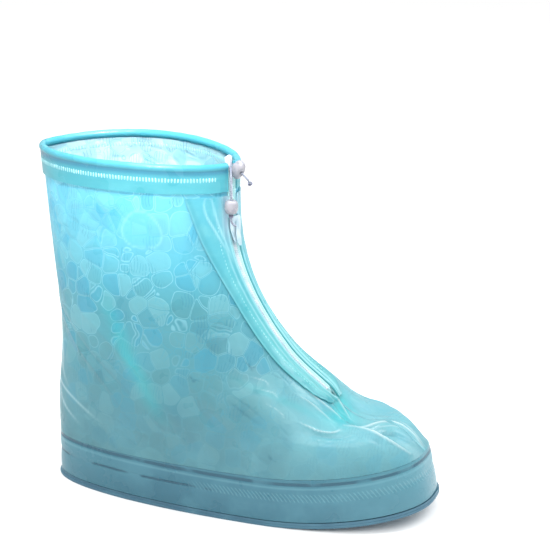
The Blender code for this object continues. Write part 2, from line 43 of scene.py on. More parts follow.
# The picture's camera, in degrees, metres and mm of lens
CAMERA_AZIMUTH = 23.45
CAMERA_ELEVATION = 20.48
CAMERA_DISTANCE = 1.171
CAMERA_TARGET = (0.0103, 0.0, 0.118)
CAMERA_LENS = 106.5
CAMERA_SHIFT = (0.0876, 0.116)
LIGHTS = (
    # name, location, target, width and height, watts, spread in degrees
    ("key", (0.55, -0.75, 1.15), (0.0, 0.0, 0.12), (0.8, 0.8), 6.5, 180),
    ("rim", (0.75, 0.65, 0.85), (0.02, 0.0, 0.12), (0.4, 0.8), 6.0, 180),
    ("top", (-0.12, 0.0, 1.1), (-0.06, 0.0, 0.12), (0.35, 0.35), 6.0, 180),
    ("inside", (0.05, -0.36, 0.74), (-0.065, 0.05, 0.225), (0.10, 0.10), 0.23, 26),
)

# Fine trim and relief
THREADS = 1300.0  # scale of the tape's weave
CORD_STRANDS = 3
CORD_TURNS = 260.0  # turns of a strand in a metre
STITCH_HEIGHT = 239.2 * MM
STITCH_PITCH = 2.15 * MM
DASH_PITCH = 2.6 * MM
DASH_LENGTH = 1.7 * MM
DASH_THICK = 0.56 * MM
DASH_INSET = 9.5 * MM
DASH_FIRST_LEVEL = 3.0
DASH_LAST_LEVEL = 6.3
COIL_PITCH = 1.5 * MM
RAIL_DEPTH = 0.75 * MM
RAIL_WIDTH = 3.0 * MM
RAIL_THICK = 1.0 * MM
GROOVE_PITCH = 7.0  # mm
GROOVE_DEPTH = 1.2 * MM

# Sizes that the CAD source also has
LENGTH = 285 * MM
WIDTH = 108 * MM
HEIGHT = 250 * MM
WALL_TOP = 35 * MM
TOE_SPRING = 13 * MM
SPRING_START = 0.6
TOE_LEAN = 18 * MM
ORIGIN_SHARE = 0.42
OUTER_RIM_ARCH = 2.5 * MM
INNER_RIM_ARCH = 5 * MM
RIM_ARCH_LEVEL = 4.8
CLEARANCE = 0.3 * MM
SHEET = 1.2 * MM
SIDE_WALL = 2.5 * MM
SOLE_PLATE = 4 * MM
FLANGE = 2 * MM
FLANGE_HEIGHT = 2 * MM
SLOT = 9 * MM
SLOT_END_LEVEL = 2.45
SLOT_OPEN_LEVEL = 2.95
ZIP_DRIFT = 6 * MM
DRIFT_START_LEVEL = 4.6
DRIFT_END_LEVEL = 6.1
PLACKET = 16 * MM
PLACKET_SHEET = 1.2 * MM
PLACKET_GAP = 0.5 * MM
PLACKET_END_SHARE = 0.45
PLACKET_FLARE = 18 * MM
FLARE_START_LEVEL = 5.0
TAPE = 0.8 * MM
TAPE_SHARE = 0.4
TAPE_END_RISE = 5 * MM
SLIDER_LENGTH = 20 * MM
SLIDER_WIDTH = 12 * MM
SLIDER_DROP = 51 * MM
HEM_STRIP = 15 * MM
HEM_SHEET = 1.2 * MM
TUNNEL_RADIUS = 2.7 * MM
CORD = 1.5 * MM
CORD_FIT = 0.4 * MM

HEM_STITCHES = (
    # name, out from the skin, facing inward, (width, height, thickness)
    ("hem_stitches", CLEARANCE + HEM_SHEET, False, (1.25 * MM, 2.9 * MM, 0.22 * MM)),
    ("hem_stitches_inside", -SHEET, True, (1.1 * MM, 2.6 * MM, 0.2 * MM)),
)

UPPER_ROWS = (
    # name, back_z, front_z, back_x, front_x, half, widest, nose, heel, lift
    ("wall_top", 0.000, 0.015, 0.000, 0.970, 1.00, 0.64, 0.78, 0.52, 1.0),
    ("toe_side", 0.085, 0.115, -0.006, 0.895, 1.00, 0.63, 0.62, 0.62, 0.9),
    ("toe_top", 0.170, 0.158, -0.007, 0.797, 0.99, 0.60, 0.48, 0.72, 0.6),
    ("vamp", 0.265, 0.260, -0.004, 0.702, 0.92, 0.56, 0.54, 0.84, 0.3),
    ("instep", 0.368, 0.368, -0.005, 0.611, 0.84, 0.53, 0.73, 0.95, 0.0),
    ("bend", 0.515, 0.540, -0.015, 0.524, 0.815, 0.51, 0.86, 1.03, 0.0),
    ("shin", 0.730, 0.744, -0.031, 0.479, 0.79, 0.51, 0.96, 1.12, 0.0),
    ("rim", 1.000, 0.993, -0.052, 0.473, 0.80, 0.51, 1.06, 1.32, 0.0),
)
SOLE_ROW = ("sole", 0.000, 0.000, 0.000, 1.000, 1.00, 0.62, 0.76, 0.52, 1.0)
FOLDS = (
    # name, from_level, to_level, from_reach, to_reach, width, height: shares of WIDTH
    ("outer_valley", 2.9, 0.3, -0.03, -0.17, 0.060, -0.034),
    ("outer_ridge", 2.7, 0.4, -0.16, -0.36, 0.080, 0.018),
    ("inner_valley", 2.9, 0.4, 0.05, 0.24, 0.070, -0.024),
    ("ankle_dent", 6.0, 3.4, -0.95, -1.05, 0.200, -0.016),
    ("heel_tuck", 6.4, 2.2, -1.62, -1.90, 0.090, -0.012),
)
NEAR_CORD_ROUTE = (
    # mm from the tunnel's mouth: forward, towards the inner side, up
    (0.0, 0.0, 0.0), (1.2, 0.9, 0.0), (2.9, 0.6, -0.9), (4.2, -1.0, -3.0), (5.2, -3.0, -6.0),
    (5.9, -4.7, -9.5), (6.4, -5.8, -14.0), (6.6, -6.2, -20.0), (6.6, -6.2, -28.0), (6.6, -6.2, -35.5),
    (7.4, -5.9, -38.2), (10.0, -5.0, -40.4),
)
FAR_CORD_ROUTE = (
    # as above
    (0.0, 0.0, 0.0), (0.6, -2.0, 0.6), (1.7, -3.9, 0.9), (3.5, -5.1, -0.1), (6.3, -6.3, -1.8),
    (9.2, -7.5, -3.6), (12.4, -8.8, -5.6), (13.7, -9.0, -6.6), (14.6, -8.5, -8.0),
    (15.0, -7.4, -9.2), (14.6, -6.0, -10.0), (13.4, -3.0, -11.3), (12.1, 0.0, -12.5),
    (11.5, 1.4, -13.1),
)
BEADS = (
    # name, cord's end, half sizes along the cord, across it and square to both, distance along the cord, mm
    ("bead_lower", "near", 4.8, 4.6, 4.7, 31.2),
    ("bead_upper", "far", 3.8, 4.1, 7.2, 9.8),
)
KNOTS = (
    # name, cord's end, half width, distance along the cord, mm
    ("knot_lower", "near", 1.9, 37.9),
    ("knot_upper", "far", 1.9, 29.6),
)

COIL_LOOP = (
    # One loop of the coil in mm: across from the middle, out from the skin, radius
    (0.30, 0.35, 0.40), (0.0, 0.62, 0.46), (-0.45, 0.70, 0.48), (-1.0, 0.60, 0.46), (-1.45, 0.25, 0.42),
    (-1.65, -0.25, 0.36),
)

# Fine folds of the sheet, as lines of (level, reach in mm). Width and height are in mm, height is outward.
CREASES = (
    # name, width, height, knots
    ("near_ridge", 1.7, 1.5, (
        (2.36, -48.5), (2.22, -46.0), (2.09, -44.2), (1.97, -39.5), (1.93, -35.5), (1.97, -31.0),
    )),
    ("near_shelf", 5.0, -1.4, ((2.05, -52.0), (1.8, -46.0), (1.62, -38.0), (1.6, -31.0))),
    ("main_ridge", 1.6, 1.9, (
        (2.02, -25.0), (1.78, -20.6), (1.56, -19.8), (1.3, -21.8), (1.02, -23.1), (0.62, -20.5),
        (0.22, -16.5),
    )),
    ("main_side", 4.5, -1.3, ((1.75, -28.0), (1.4, -30.0), (1.02, -31.0), (0.6, -28.0))),
    ("main_valley", 2.4, -2.0, (
        (2.1, -14.0), (1.8, -12.5), (1.5, -13.0), (1.15, -13.5), (0.8, -10.0), (0.4, -4.5),
    )),
    ("far_ridge", 1.6, 1.5, (
        (1.95, -16.8), (1.75, -9.5), (1.45, -3.0), (1.15, 1.2), (0.84, 3.4), (0.45, 4.0), (0.12, 2.0),
    )),
    ("far_valley", 3.2, -1.3, ((1.7, 2.0), (1.3, 9.5), (0.85, 13.0), (0.4, 13.5))),
    ("far_side", 3.0, 1.0, ((1.6, 16.0), (1.15, 21.0), (0.6, 23.0))),
    ("end_crease_0", 1.3, 1.2, ((3.05, -30.0), (2.8, -27.6), (2.55, -27.2), (2.3, -27.6))),
    ("end_crease_1", 1.3, 1.5, ((3.1, -20.5), (2.85, -19.5), (2.6, -18.6), (2.4, -18.2), (2.16, -19.0))),
    ("end_crease_2", 1.3, 1.3, ((2.95, 6.5), (2.6, 0.5), (2.35, -3.0), (2.08, -7.0))),
    ("end_pinch_0", 1.8, -1.2, ((2.75, -23.0), (2.5, -22.6), (2.22, -23.0))),
    ("end_pinch", 2.6, -2.2, ((2.75, -12.0), (2.5, -11.5), (2.25, -12.0), (2.02, -14.0))),
    ("end_pinch_2", 1.7, -1.2, ((2.7, -4.0), (2.45, -6.8), (2.2, -9.0))),
    ("bend_crease", 2.4, 0.7, ((4.45, -34.0), (4.0, -42.0), (3.6, -56.0))),
    ("bend_valley", 5.0, -1.2, ((4.9, -45.0), (4.3, -60.0), (3.7, -80.0), (3.2, -95.0))),
    ("vamp_tuck_1", 2.2, 0.8, ((3.55, -40.0), (3.35, -48.0), (3.2, -58.0))),
    ("vamp_tuck_2", 2.0, 0.7, ((3.05, -38.0), (2.95, -45.0), (2.8, -50.0))),
    ("ankle_bulge", 9.0, 2.0, ((3.3, -88.0), (2.7, -98.0), (2.1, -104.0))),
    ("ankle_hollow", 6.0, -1.6, ((3.3, -105.0), (2.6, -116.0), (1.9, -120.0))),
    ("heel_sweep", 6.0, 1.3, ((5.0, -150.0), (3.9, -135.0), (2.8, -140.0), (1.6, -150.0))),
    ("heel_fold_1", 2.4, 1.0, ((5.4, -188.0), (4.0, -182.0), (2.6, -186.0), (1.4, -200.0))),
    ("heel_fold_2", 3.0, -1.0, ((4.6, -176.0), (3.4, -170.0), (2.2, -172.0))),
    ("shaft_dent", 14.0, -1.4, ((5.9, -70.0), (5.2, -90.0), (4.6, -112.0))),
    ("shaft_swell", 16.0, 1.3, ((6.3, -110.0), (5.4, -125.0), (4.8, -140.0))),
    ("inner_bend", 3.0, 1.0, ((4.6, 34.0), (4.1, 46.0), (3.6, 62.0))),
    ("inner_bend_valley", 5.0, -1.3, ((4.9, 44.0), (4.2, 62.0), (3.6, 84.0))),
    ("inner_heel", 3.0, 0.9, ((5.2, 186.0), (4.0, 178.0), (2.4, 190.0))),
    ("inner_toe", 2.2, 1.1, ((2.2, 34.0), (1.6, 40.0), (0.9, 42.0))),
)
PLACKET_LINES = (
    # name, width, height, knots, as above
    ("loop_left", 0.8, 0.7, (
        (6.62, -27.0), (6.58, -29.0), (6.48, -29.6), (6.35, -27.6), (6.2, -23.5), (6.0, -19.0),
        (5.8, -14.8),
    )),
    ("loop_right", 0.8, 0.7, (
        (6.62, -27.0), (6.6, -24.8), (6.5, -23.0), (6.35, -21.2), (6.13, -18.0), (5.9, -14.6),
        (5.66, -12.3),
    )),
    ("loop_dent", 2.2, -0.5, ((6.56, -26.5), (6.4, -24.8), (6.2, -21.0))),
)
CREASE_KNOTS = {row[0]: row[3] for row in CREASES}
CREST_HIGHLIGHTS = (
    # name of the painted highlight along a fold's ridge, width in mm, strength, knots or the name of the
    # crease that has them
    ("near_crest", 0.85, 1.2, "near_ridge"),
    ("main_crest", 1.0, 1.3, "main_ridge"),
    ("far_crest", 0.95, 1.2, "far_ridge"),
    ("far_crest_2", 0.6, 0.5, ((1.55, -8.0), (1.25, -5.5), (1.0, -1.5), (0.8, 1.0))),
    ("crest_0", 0.7, 0.7, "end_crease_0"),
    ("crest_1", 0.8, 0.9, "end_crease_1"),
    ("crest_2", 0.8, 0.8, "end_crease_2"),
    ("crest_3", 0.5, 0.5, ((2.7, -15.0), (2.45, -15.0), (2.2, -16.0))),
    ("vamp_mark_1", 0.6, 0.45, ((3.62, -46.0), (3.5, -40.0), (3.38, -42.0))),
    ("vamp_mark_2", 0.6, 0.45, ((3.3, -52.0), (3.18, -44.0), (3.02, -46.0))),
    ("vamp_mark_3", 0.5, 0.4, ((2.9, -58.0), (2.7, -54.0), (2.5, -56.0))),
    ("toe_edge", 1.1, 0.6, ((1.1, 9.0), (0.8, 9.5), (0.45, 7.5), (0.1, 4.5))),
)
BIG_STONE = (6.17, -74.0, 12.5)  # level, reach and radius in mm of the pattern's one large stone
STREAK_HIGHLIGHTS = (
    # name of a painted highlight near the back, a pale line on a fold, width in mm, strength, knots
    ("heel_streak_1", 2.0, 1.0, (
        (4.4, -196.0), (3.9, -205.0), (3.3, -222.0), (2.7, -238.0), (2.2, -243.0),
    )),
    ("heel_streak_2", 2.6, 0.9, ((2.9, -250.0), (2.4, -262.0), (1.8, -246.0), (1.2, -240.0))),
    ("heel_streak_3", 1.6, 0.9, ((5.4, -190.0), (4.9, -193.0), (4.4, -199.0))),
    ("heel_streak_4", 2.2, 0.8, ((1.9, -268.0), (1.3, -272.0), (0.8, -268.0))),
)
TINTS = (
    # name of the greener line, width in mm, strength, knots
    ("side_tint", 6.5, 0.55, (
        (5.3, -114.0), (4.9, -118.0), (4.49, -121.4), (3.5, -136.3), (2.6, -152.0), (1.9, -166.0),
    )),
    ("bend_tint", 5.0, 0.3, ((3.6, -60.0), (3.2, -50.0), (2.8, -40.0), (2.4, -30.0))),
)
SHADED_DENTS = (
    # name of the dent where the sheet is pinched, with painted shade in it, width in mm, strength, knots
    ("mark_1", 0.8, 0.8, ((3.56, -93.0), (3.46, -92.5), (3.38, -95.5))),
    ("mark_2", 0.7, 0.6, ((3.47, -92.0), (3.44, -88.5))),
    ("mark_3", 0.8, 0.7, ((4.0, -41.5), (3.88, -40.0), (3.76, -42.5))),
    ("mark_4", 0.7, 0.6, ((3.88, -40.0), (3.84, -36.5))),
    ("mark_5", 0.8, 0.6, ((0.84, -111.0), (0.7, -111.5), (0.58, -109.5))),
    ("mark_6", 0.7, 0.5, ((3.66, -30.5), (3.55, -29.0), (3.5, -26.0))),
    ("mark_7", 1.6, 0.4, ((2.9, -84.0), (2.6, -82.0), (2.3, -80.0))),
    ("mark_8", 1.2, 0.35, ((3.1, -77.0), (2.8, -73.0), (2.45, -72.0))),
    ("end_mark", 1.3, 0.9, ((2.06, -19.0), (1.98, -15.5), (1.93, -12.0))),
    ("main_mark", 1.2, 0.5, ((1.85, -12.6), (1.5, -13.4), (1.15, -13.8), (0.8, -10.5))),
)


def srgb(red, green, blue):
    """An 8-bit sRGB colour as Blender's linear one."""
    parts = [c / 255 for c in (red, green, blue)]
    return tuple(c / 12.92 if c < 0.04045 else ((c + 0.055) / 1.055) ** 2.4 for c in parts) + (1,)


# The skin, as in the CAD source: rings by level, and the distance along a ring from the middle of the front


def smooth_value(before, start, end, after, share):
    square = share * share
    cube = square * share
    return (
        (2 * cube - 3 * square + 1) * start
        + (cube - 2 * square + share) * (end - before) / 2
        + (3 * square - 2 * cube) * end
        + (cube - square) * (after - start) / 2
    )


def sized_row(row, base, rise):
    _, back_z, front_z, back_x, front_x, half, widest, nose, heel, lift = row
    return (base + back_z * rise, base + front_z * rise, back_x * LENGTH, front_x * LENGTH, half * WIDTH / 2,
            widest, nose, heel, lift)


def smooth_step(value, start, end):
    share = np.clip((np.asarray(value, dtype=float) - start) / (end - start), 0, 1)
    return share * share * (3 - 2 * share)


@functools.lru_cache(maxsize=None)
def section(level):
    rise = HEIGHT - WALL_TOP
    if level < 0:
        foot = sized_row(SOLE_ROW, 0.0, rise)
        top = sized_row(UPPER_ROWS[0], WALL_TOP, rise)
        return tuple(low + (high - low) * (level + 1) for low, high in zip(foot, top))
    rows = [sized_row(row, WALL_TOP, rise) for row in UPPER_ROWS]
    index = min(int(level), len(rows) - 2)
    start, end = rows[index], rows[index + 1]
    before = rows[index - 1] if index > 0 else [2 * a - b for a, b in zip(start, end)]
    after = rows[index + 2] if index + 2 < len(rows) else [2 * b - a for a, b in zip(start, end)]
    return tuple(smooth_value(*columns, level - index) for columns in zip(before, start, end, after))


@functools.lru_cache(maxsize=None)
def ring(level):
    """A whole ring: reaches from the back by the outer side to the back again, and its points."""
    back_z, front_z, back_x, front_x, half, widest, nose, heel, lift = section(level)
    widest_x = back_x + widest * (front_x - back_x)
    share = np.linspace(0, 1, 401)
    angle = math.pi * (share - np.sin(2 * math.pi * share) / (2 * math.pi))
    cosine, sine = np.cos(angle), np.abs(np.sin(angle))
    sides = []
    for side in (-1, 1):
        reach = np.where(cosine >= 0, front_x - widest_x, widest_x - back_x)
        power = np.where(cosine >= 0, nose, heel)
        x = widest_x + reach * cosine
        along = x / LENGTH
        y = side * half * sine ** power + TOE_LEAN * np.maximum(0, along) ** 2
        z = back_z + (front_z - back_z) * (x - back_x) / (front_x - back_x)
        z = z + TOE_SPRING * lift * np.maximum(0, (along - SPRING_START) / (1 - SPRING_START)) ** 2
        arch = INNER_RIM_ARCH if side > 0 else OUTER_RIM_ARCH
        z = z + arch * sine * sine * smooth_step(level, RIM_ARCH_LEVEL, len(UPPER_ROWS) - 1)
        points = np.stack([x - ORIGIN_SHARE * LENGTH, y, z], axis=1)
        steps = np.linalg.norm(np.diff(points, axis=0), axis=1)
        sides.append((points, np.concatenate([[0], np.cumsum(steps)])))
    (outer, outer_reach), (inner, inner_reach) = sides
    return np.concatenate([-outer_reach[::-1], inner_reach[1:]]), np.concatenate([outer[::-1], inner[1:]])


def half_length(level, side):
    reaches = ring(level)[0]
    return -reaches[0] if side < 0 else reaches[-1]


def plain(level, reach):
    reaches, points = ring(level)
    around = reaches[-1] - reaches[0]
    spot = (np.asarray(reach) - reaches[0]) % around + reaches[0]
    return np.stack([np.interp(spot, reaches, points[:, k]) for k in range(3)], axis=-1)


def unit(vectors):
    return vectors / np.linalg.norm(vectors, axis=-1, keepdims=True)


def slopes(place, level, reach):
    step, reach_step = 0.02, 0.5 * MM
    along = place(level, reach + reach_step) - place(level, reach - reach_step)
    upward = place(level + step, reach) - place(level - step, reach)
    return unit(along), unit(upward)


def fold_height(level, reach):
    total = np.zeros_like(reach)
    for _, from_level, to_level, from_reach, to_reach, width, height in FOLDS:
        share = (level - from_level) / (to_level - from_level)
        if not 0 < share < 1:
            continue
        middle = (from_reach + (to_reach - from_reach) * share) * WIDTH
        across = (reach - middle) / (width * WIDTH)
        total += height * WIDTH * math.sin(math.pi * share) ** 2 * np.exp(-across * across)
    return total


def skin(level, reach):
    along, upward = slopes(plain, level, reach)
    return plain(level, reach) + unit(np.cross(along, upward)) * fold_height(level, reach)[..., None]


def skin_frame(level, reach):
    """(points, along the ring, up the skin, outward) for an array of reaches on one level."""
    reach = np.atleast_1d(np.asarray(reach, dtype=float))
    along, upward = slopes(skin, level, reach)
    outward = unit(np.cross(along, upward))
    return skin(level, reach), along, np.cross(outward, along), outward


def skin_frames(levels, reaches):
    """The same for rows of reaches, one row for each level."""
    rows = [skin_frame(level, row) for level, row in zip(levels, reaches)]
    return [np.array(parts) for parts in zip(*rows)]


def level_at(height):
    low, high = 0.0, len(UPPER_ROWS) - 1.0
    for _ in range(30):
        middle = (low + high) / 2
        back_z, front_z = section(middle)[:2]
        if (back_z + front_z) / 2 < height:
            low = middle
        else:
            high = middle
    return low


TUNNEL_LEVEL = level_at(HEIGHT - TUNNEL_RADIUS)
PANEL_TOP_LEVEL = level_at(HEIGHT - 2 * TUNNEL_RADIUS - CLEARANCE)
HEM_LEVEL = level_at(HEIGHT - 2 * TUNNEL_RADIUS - HEM_STRIP)
CLIMB_LEVELS = np.linspace(-1, 7, 401)
CLIMB = np.concatenate(
    [[0], np.cumsum(np.linalg.norm(np.diff([plain(level, 0.0) for level in CLIMB_LEVELS], axis=0), axis=1))]
)


def climb(level):
    """Distance up the front of the skin, in metres."""
    return np.interp(level, CLIMB_LEVELS, CLIMB)


def opening_share(level):
    return smooth_step(level, SLOT_END_LEVEL, SLOT_OPEN_LEVEL)


def zip_middle(level):
    return -ZIP_DRIFT * smooth_step(level, DRIFT_START_LEVEL, DRIFT_END_LEVEL)


def front_edge(level):
    return (CLEARANCE + (SLOT - CLEARANCE) * opening_share(level)) / 2


def placket_edges(level):
    narrow = PLACKET * (PLACKET_END_SHARE + (1 - PLACKET_END_SHARE) * opening_share(level))
    flare = np.clip((level - FLARE_START_LEVEL) / (HEM_LEVEL - FLARE_START_LEVEL), 0, 1)
    width = narrow + PLACKET_FLARE * flare * flare
    tape = TAPE_SHARE * narrow
    return 0.0, tape, (tape + width) / 2, width


def column_reach(level, column, side):
    return zip_middle(level) + side * (front_edge(level) + placket_edges(level)[column])


def line_field(levels, reaches, lines, sharp=False):
    """The sum of the lines' heights over a grid, or the strongest line where sharp.

    Each row of the grid has one level and a row of reaches in metres."""
    up = climb(np.asarray(levels))[:, None] * np.ones_like(reaches)
    total = np.zeros_like(reaches)
    for _, width, height, knots in lines:
        knots = CREASE_KNOTS[knots] if isinstance(knots, str) else knots
        ups = climb(np.array([knot[0] for knot in knots]))
        outs = np.array([knot[1] for knot in knots]) * MM
        route = smooth_route([np.array([a, b, 0.0]) for a, b in zip(ups, outs)], 2 * MM)
        ups, outs = route[:, 0], route[:, 1]
        margin = 5 * width * MM
        near = (up > ups.min() - margin) & (up < ups.max() + margin)
        near &= (reaches > outs.min() - margin) & (reaches < outs.max() + margin)
        if not near.any():
            continue
        a, b = up[near], reaches[near]
        best = np.full(a.shape, np.inf)
        place = np.zeros(a.shape)
        for k in range(len(ups) - 1):
            run_a, run_b = ups[k + 1] - ups[k], outs[k + 1] - outs[k]
            share = ((a - ups[k]) * run_a + (b - outs[k]) * run_b) / (run_a ** 2 + run_b ** 2 + 1e-12)
            share = np.clip(share, 0, 1)
            gap = np.hypot(a - ups[k] - share * run_a, b - outs[k] - share * run_b)
            closer = gap < best
            best = np.where(closer, gap, best)
            place = np.where(closer, (k + share) / (len(ups) - 1), place)
        taper = np.sin(math.pi * np.clip(place, 0.03, 0.97)) ** 0.6
        across = best / (width * MM)
        if sharp:
            total[near] = np.maximum(total[near], height * taper * np.exp(-across ** 2))
        else:
            fall = np.exp(1 - np.sqrt(1 + (1.7 * across) ** 2)) * np.exp(-0.25 * across ** 2)
            total[near] += height * MM * taper * fall
    return total


# Meshes


def add_mesh(name, points, faces, materials, uvs=None, face_materials=None, smooth=35, fields=None):
    mesh = bpy.data.meshes.new(name)
    points = np.asarray(points, dtype=np.float64).reshape(-1, 3)
    mesh.from_pydata(points.tolist(), [], [tuple(int(i) for i in face) for face in faces])
    if uvs is not None:
        layer = mesh.uv_layers.new(name="sheet")
        corners = np.empty(len(mesh.loops), dtype=np.int32)
        mesh.loops.foreach_get("vertex_index", corners)
        layer.data.foreach_set("uv", np.asarray(uvs, dtype=np.float32).reshape(-1, 2)[corners].ravel())
    for key, values in (fields or {}).items():
        field = mesh.attributes.new(key, "FLOAT", "POINT")
        field.data.foreach_set("value", np.asarray(values, dtype=np.float32).ravel())
    for made in materials:
        mesh.materials.append(made)
    if face_materials is not None:
        mesh.polygons.foreach_set("material_index", np.asarray(face_materials, dtype=np.int32))
    mesh.shade_smooth()
    mesh.set_sharp_from_angle(angle=math.radians(smooth))
    made = bpy.data.objects.new(name, mesh)
    bpy.context.scene.collection.objects.link(made)
    return made


def add_piece(name, points, faces, materials, slot, replaces=(), **options):
    made = add_mesh(name, points, faces, materials, **options)
    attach(made, "root")
    if replaces:
        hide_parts(*replaces)
    return made


def distances(points):
    """How far along the line each of its points lies."""
    return np.concatenate([[0], np.cumsum(np.linalg.norm(np.diff(points, axis=0), axis=1))])


def circle(sides):
    """The angles of a ring's points."""
    return 2 * math.pi * np.arange(sides) / sides


def ring_round(center, across, up, angle):
    """Points of an ellipse whose half axes are the vectors across and up."""
    return center + across * np.cos(angle)[:, None] + up * np.sin(angle)[:, None]


def frame_at(level, reach):
    """The skin's point, along, upward and outward directions at one place."""
    return [part[0] for part in skin_frame(level, [reach])]


def tunnel_reaches(count):
    """Reaches round the tunnel from the near mouth to the far one, count on each side of the back seam."""
    return np.concatenate([
        np.linspace(column_reach(TUNNEL_LEVEL, 0, -1), -half_length(TUNNEL_LEVEL, -1), count),
        np.linspace(half_length(TUNNEL_LEVEL, 1), column_reach(TUNNEL_LEVEL, 0, 1), count)[1:],
    ])


def bell(value, middle, width):
    """1 at the middle, falling off over the width: value is in metres, middle and width are in mm."""
    return np.exp(-((value - middle * MM) / (width * MM)) ** 2)


def grid_faces(rows, columns, start=0, closed=False, flip=False):
    i, j = np.meshgrid(np.arange(rows - 1), np.arange(columns if closed else columns - 1), indexing="ij")
    low, high, k = i * columns, (i + 1) * columns, (j + 1) % columns
    quads = np.stack([low + j, low + k, high + k, high + j], axis=-1).reshape(-1, 4) + start
    return quads[:, ::-1] if flip else quads


def sheet_piece(name, levels, reaches, outer, inner, materials, slot, replaces, closed=False, fields=None):
    """A closed wall between two distances from the skin. outer and inner are numbers or grids, materials are
    those of the outer and the inner face, and fields are grids that the materials read."""
    points, _, _, outward = skin_frames(levels, reaches)
    outer = np.broadcast_to(outer, reaches.shape)[..., None]
    inner = np.broadcast_to(inner, reaches.shape)[..., None]
    rows, columns = reaches.shape
    layers = np.concatenate([points + outward * outer, points + outward * inner]).reshape(-1, 3)
    count = rows * columns
    rise = np.linalg.norm(np.diff(points, axis=0), axis=2)
    up = np.concatenate([np.zeros((1, columns)), np.cumsum(rise, axis=0)])
    flat = np.stack([reaches, up], axis=-1).reshape(-1, 2)
    outer_faces = grid_faces(rows, columns, closed=closed)
    inner_faces = grid_faces(rows, columns, start=count, closed=closed, flip=True)
    edge_faces = []
    bottom = [j for j in range(columns)]
    top = [(rows - 1) * columns + j for j in range(columns)]
    if closed:
        loops = [bottom + bottom[:1], (top + top[:1])[::-1]]
    else:
        right = [i * columns + columns - 1 for i in range(rows)]
        left = [i * columns for i in range(rows)]
        loops = [bottom + right[1:] + top[::-1][1:] + left[::-1][1:]]
    for loop in loops:
        for a, b in zip(loop, loop[1:]):
            edge_faces.append((b, a, count + a, count + b))
    faces = np.concatenate([outer_faces, inner_faces, np.array(edge_faces)])
    marks = [0] * len(outer_faces) + [1] * len(inner_faces) + [0] * len(edge_faces)
    both = {key: np.concatenate([values.ravel(), values.ravel()]) for key, values in (fields or {}).items()}
    return add_piece(name, layers, faces, materials, slot, replaces, uvs=np.concatenate([flat, flat]),
                     face_materials=marks, fields=both)


def loft_faces(count, size, start=0):
    faces = list(grid_faces(count, size, start=start, closed=True))
    faces.append(tuple(range(start, start + size))[::-1])
    faces.append(tuple(range(start + (count - 1) * size, start + count * size)))
    return faces


def smooth_route(knots, spacing):
    """Points about spacing apart on the smooth curve through the knots."""
    knots = [np.asarray(knot, dtype=float) for knot in knots]
    padded = [2 * knots[0] - knots[1], *knots, 2 * knots[-1] - knots[-2]]
    fine = []
    for before, start, end, after in zip(padded, padded[1:], padded[2:], padded[3:]):
        fine += [smooth_value(before, start, end, after, k / 24) for k in range(24)]
    fine = np.array(fine + [knots[-1]])
    reaches = distances(fine)
    even = np.linspace(0, reaches[-1], max(3, math.ceil(reaches[-1] / spacing) + 1))
    return np.stack([np.interp(even, reaches, fine[:, k]) for k in range(3)], axis=1)


def rope_points(path, radius, sides, strands, turns_per_m, groove, taper=None):
    """Rings of a twisted rope's surface along a path."""
    path = np.asarray(path)
    ahead = unit(np.gradient(path, axis=0))
    side = np.cross(ahead[0], (0, 0, 1.0))
    if np.linalg.norm(side) < 0.1:
        side = np.cross(ahead[0], (1.0, 0, 0))
    side = side / np.linalg.norm(side)
    reach = distances(path)
    angle = circle(sides)
    rings = []
    for k, (point, forward) in enumerate(zip(path, ahead)):
        side = side - forward * np.dot(side, forward)
        side = side / np.linalg.norm(side)
        other = np.cross(forward, side)
        lobes = np.abs(np.cos((angle * strands - 2 * math.pi * turns_per_m * reach[k] * strands) / 2))
        size = radius * (1 - groove + groove * lobes) * (1 if taper is None else taper[k])
        rings.append(point + side * (np.cos(angle) * size)[:, None] + other * (np.sin(angle) * size)[:, None])
    return np.array(rings)


# Materials


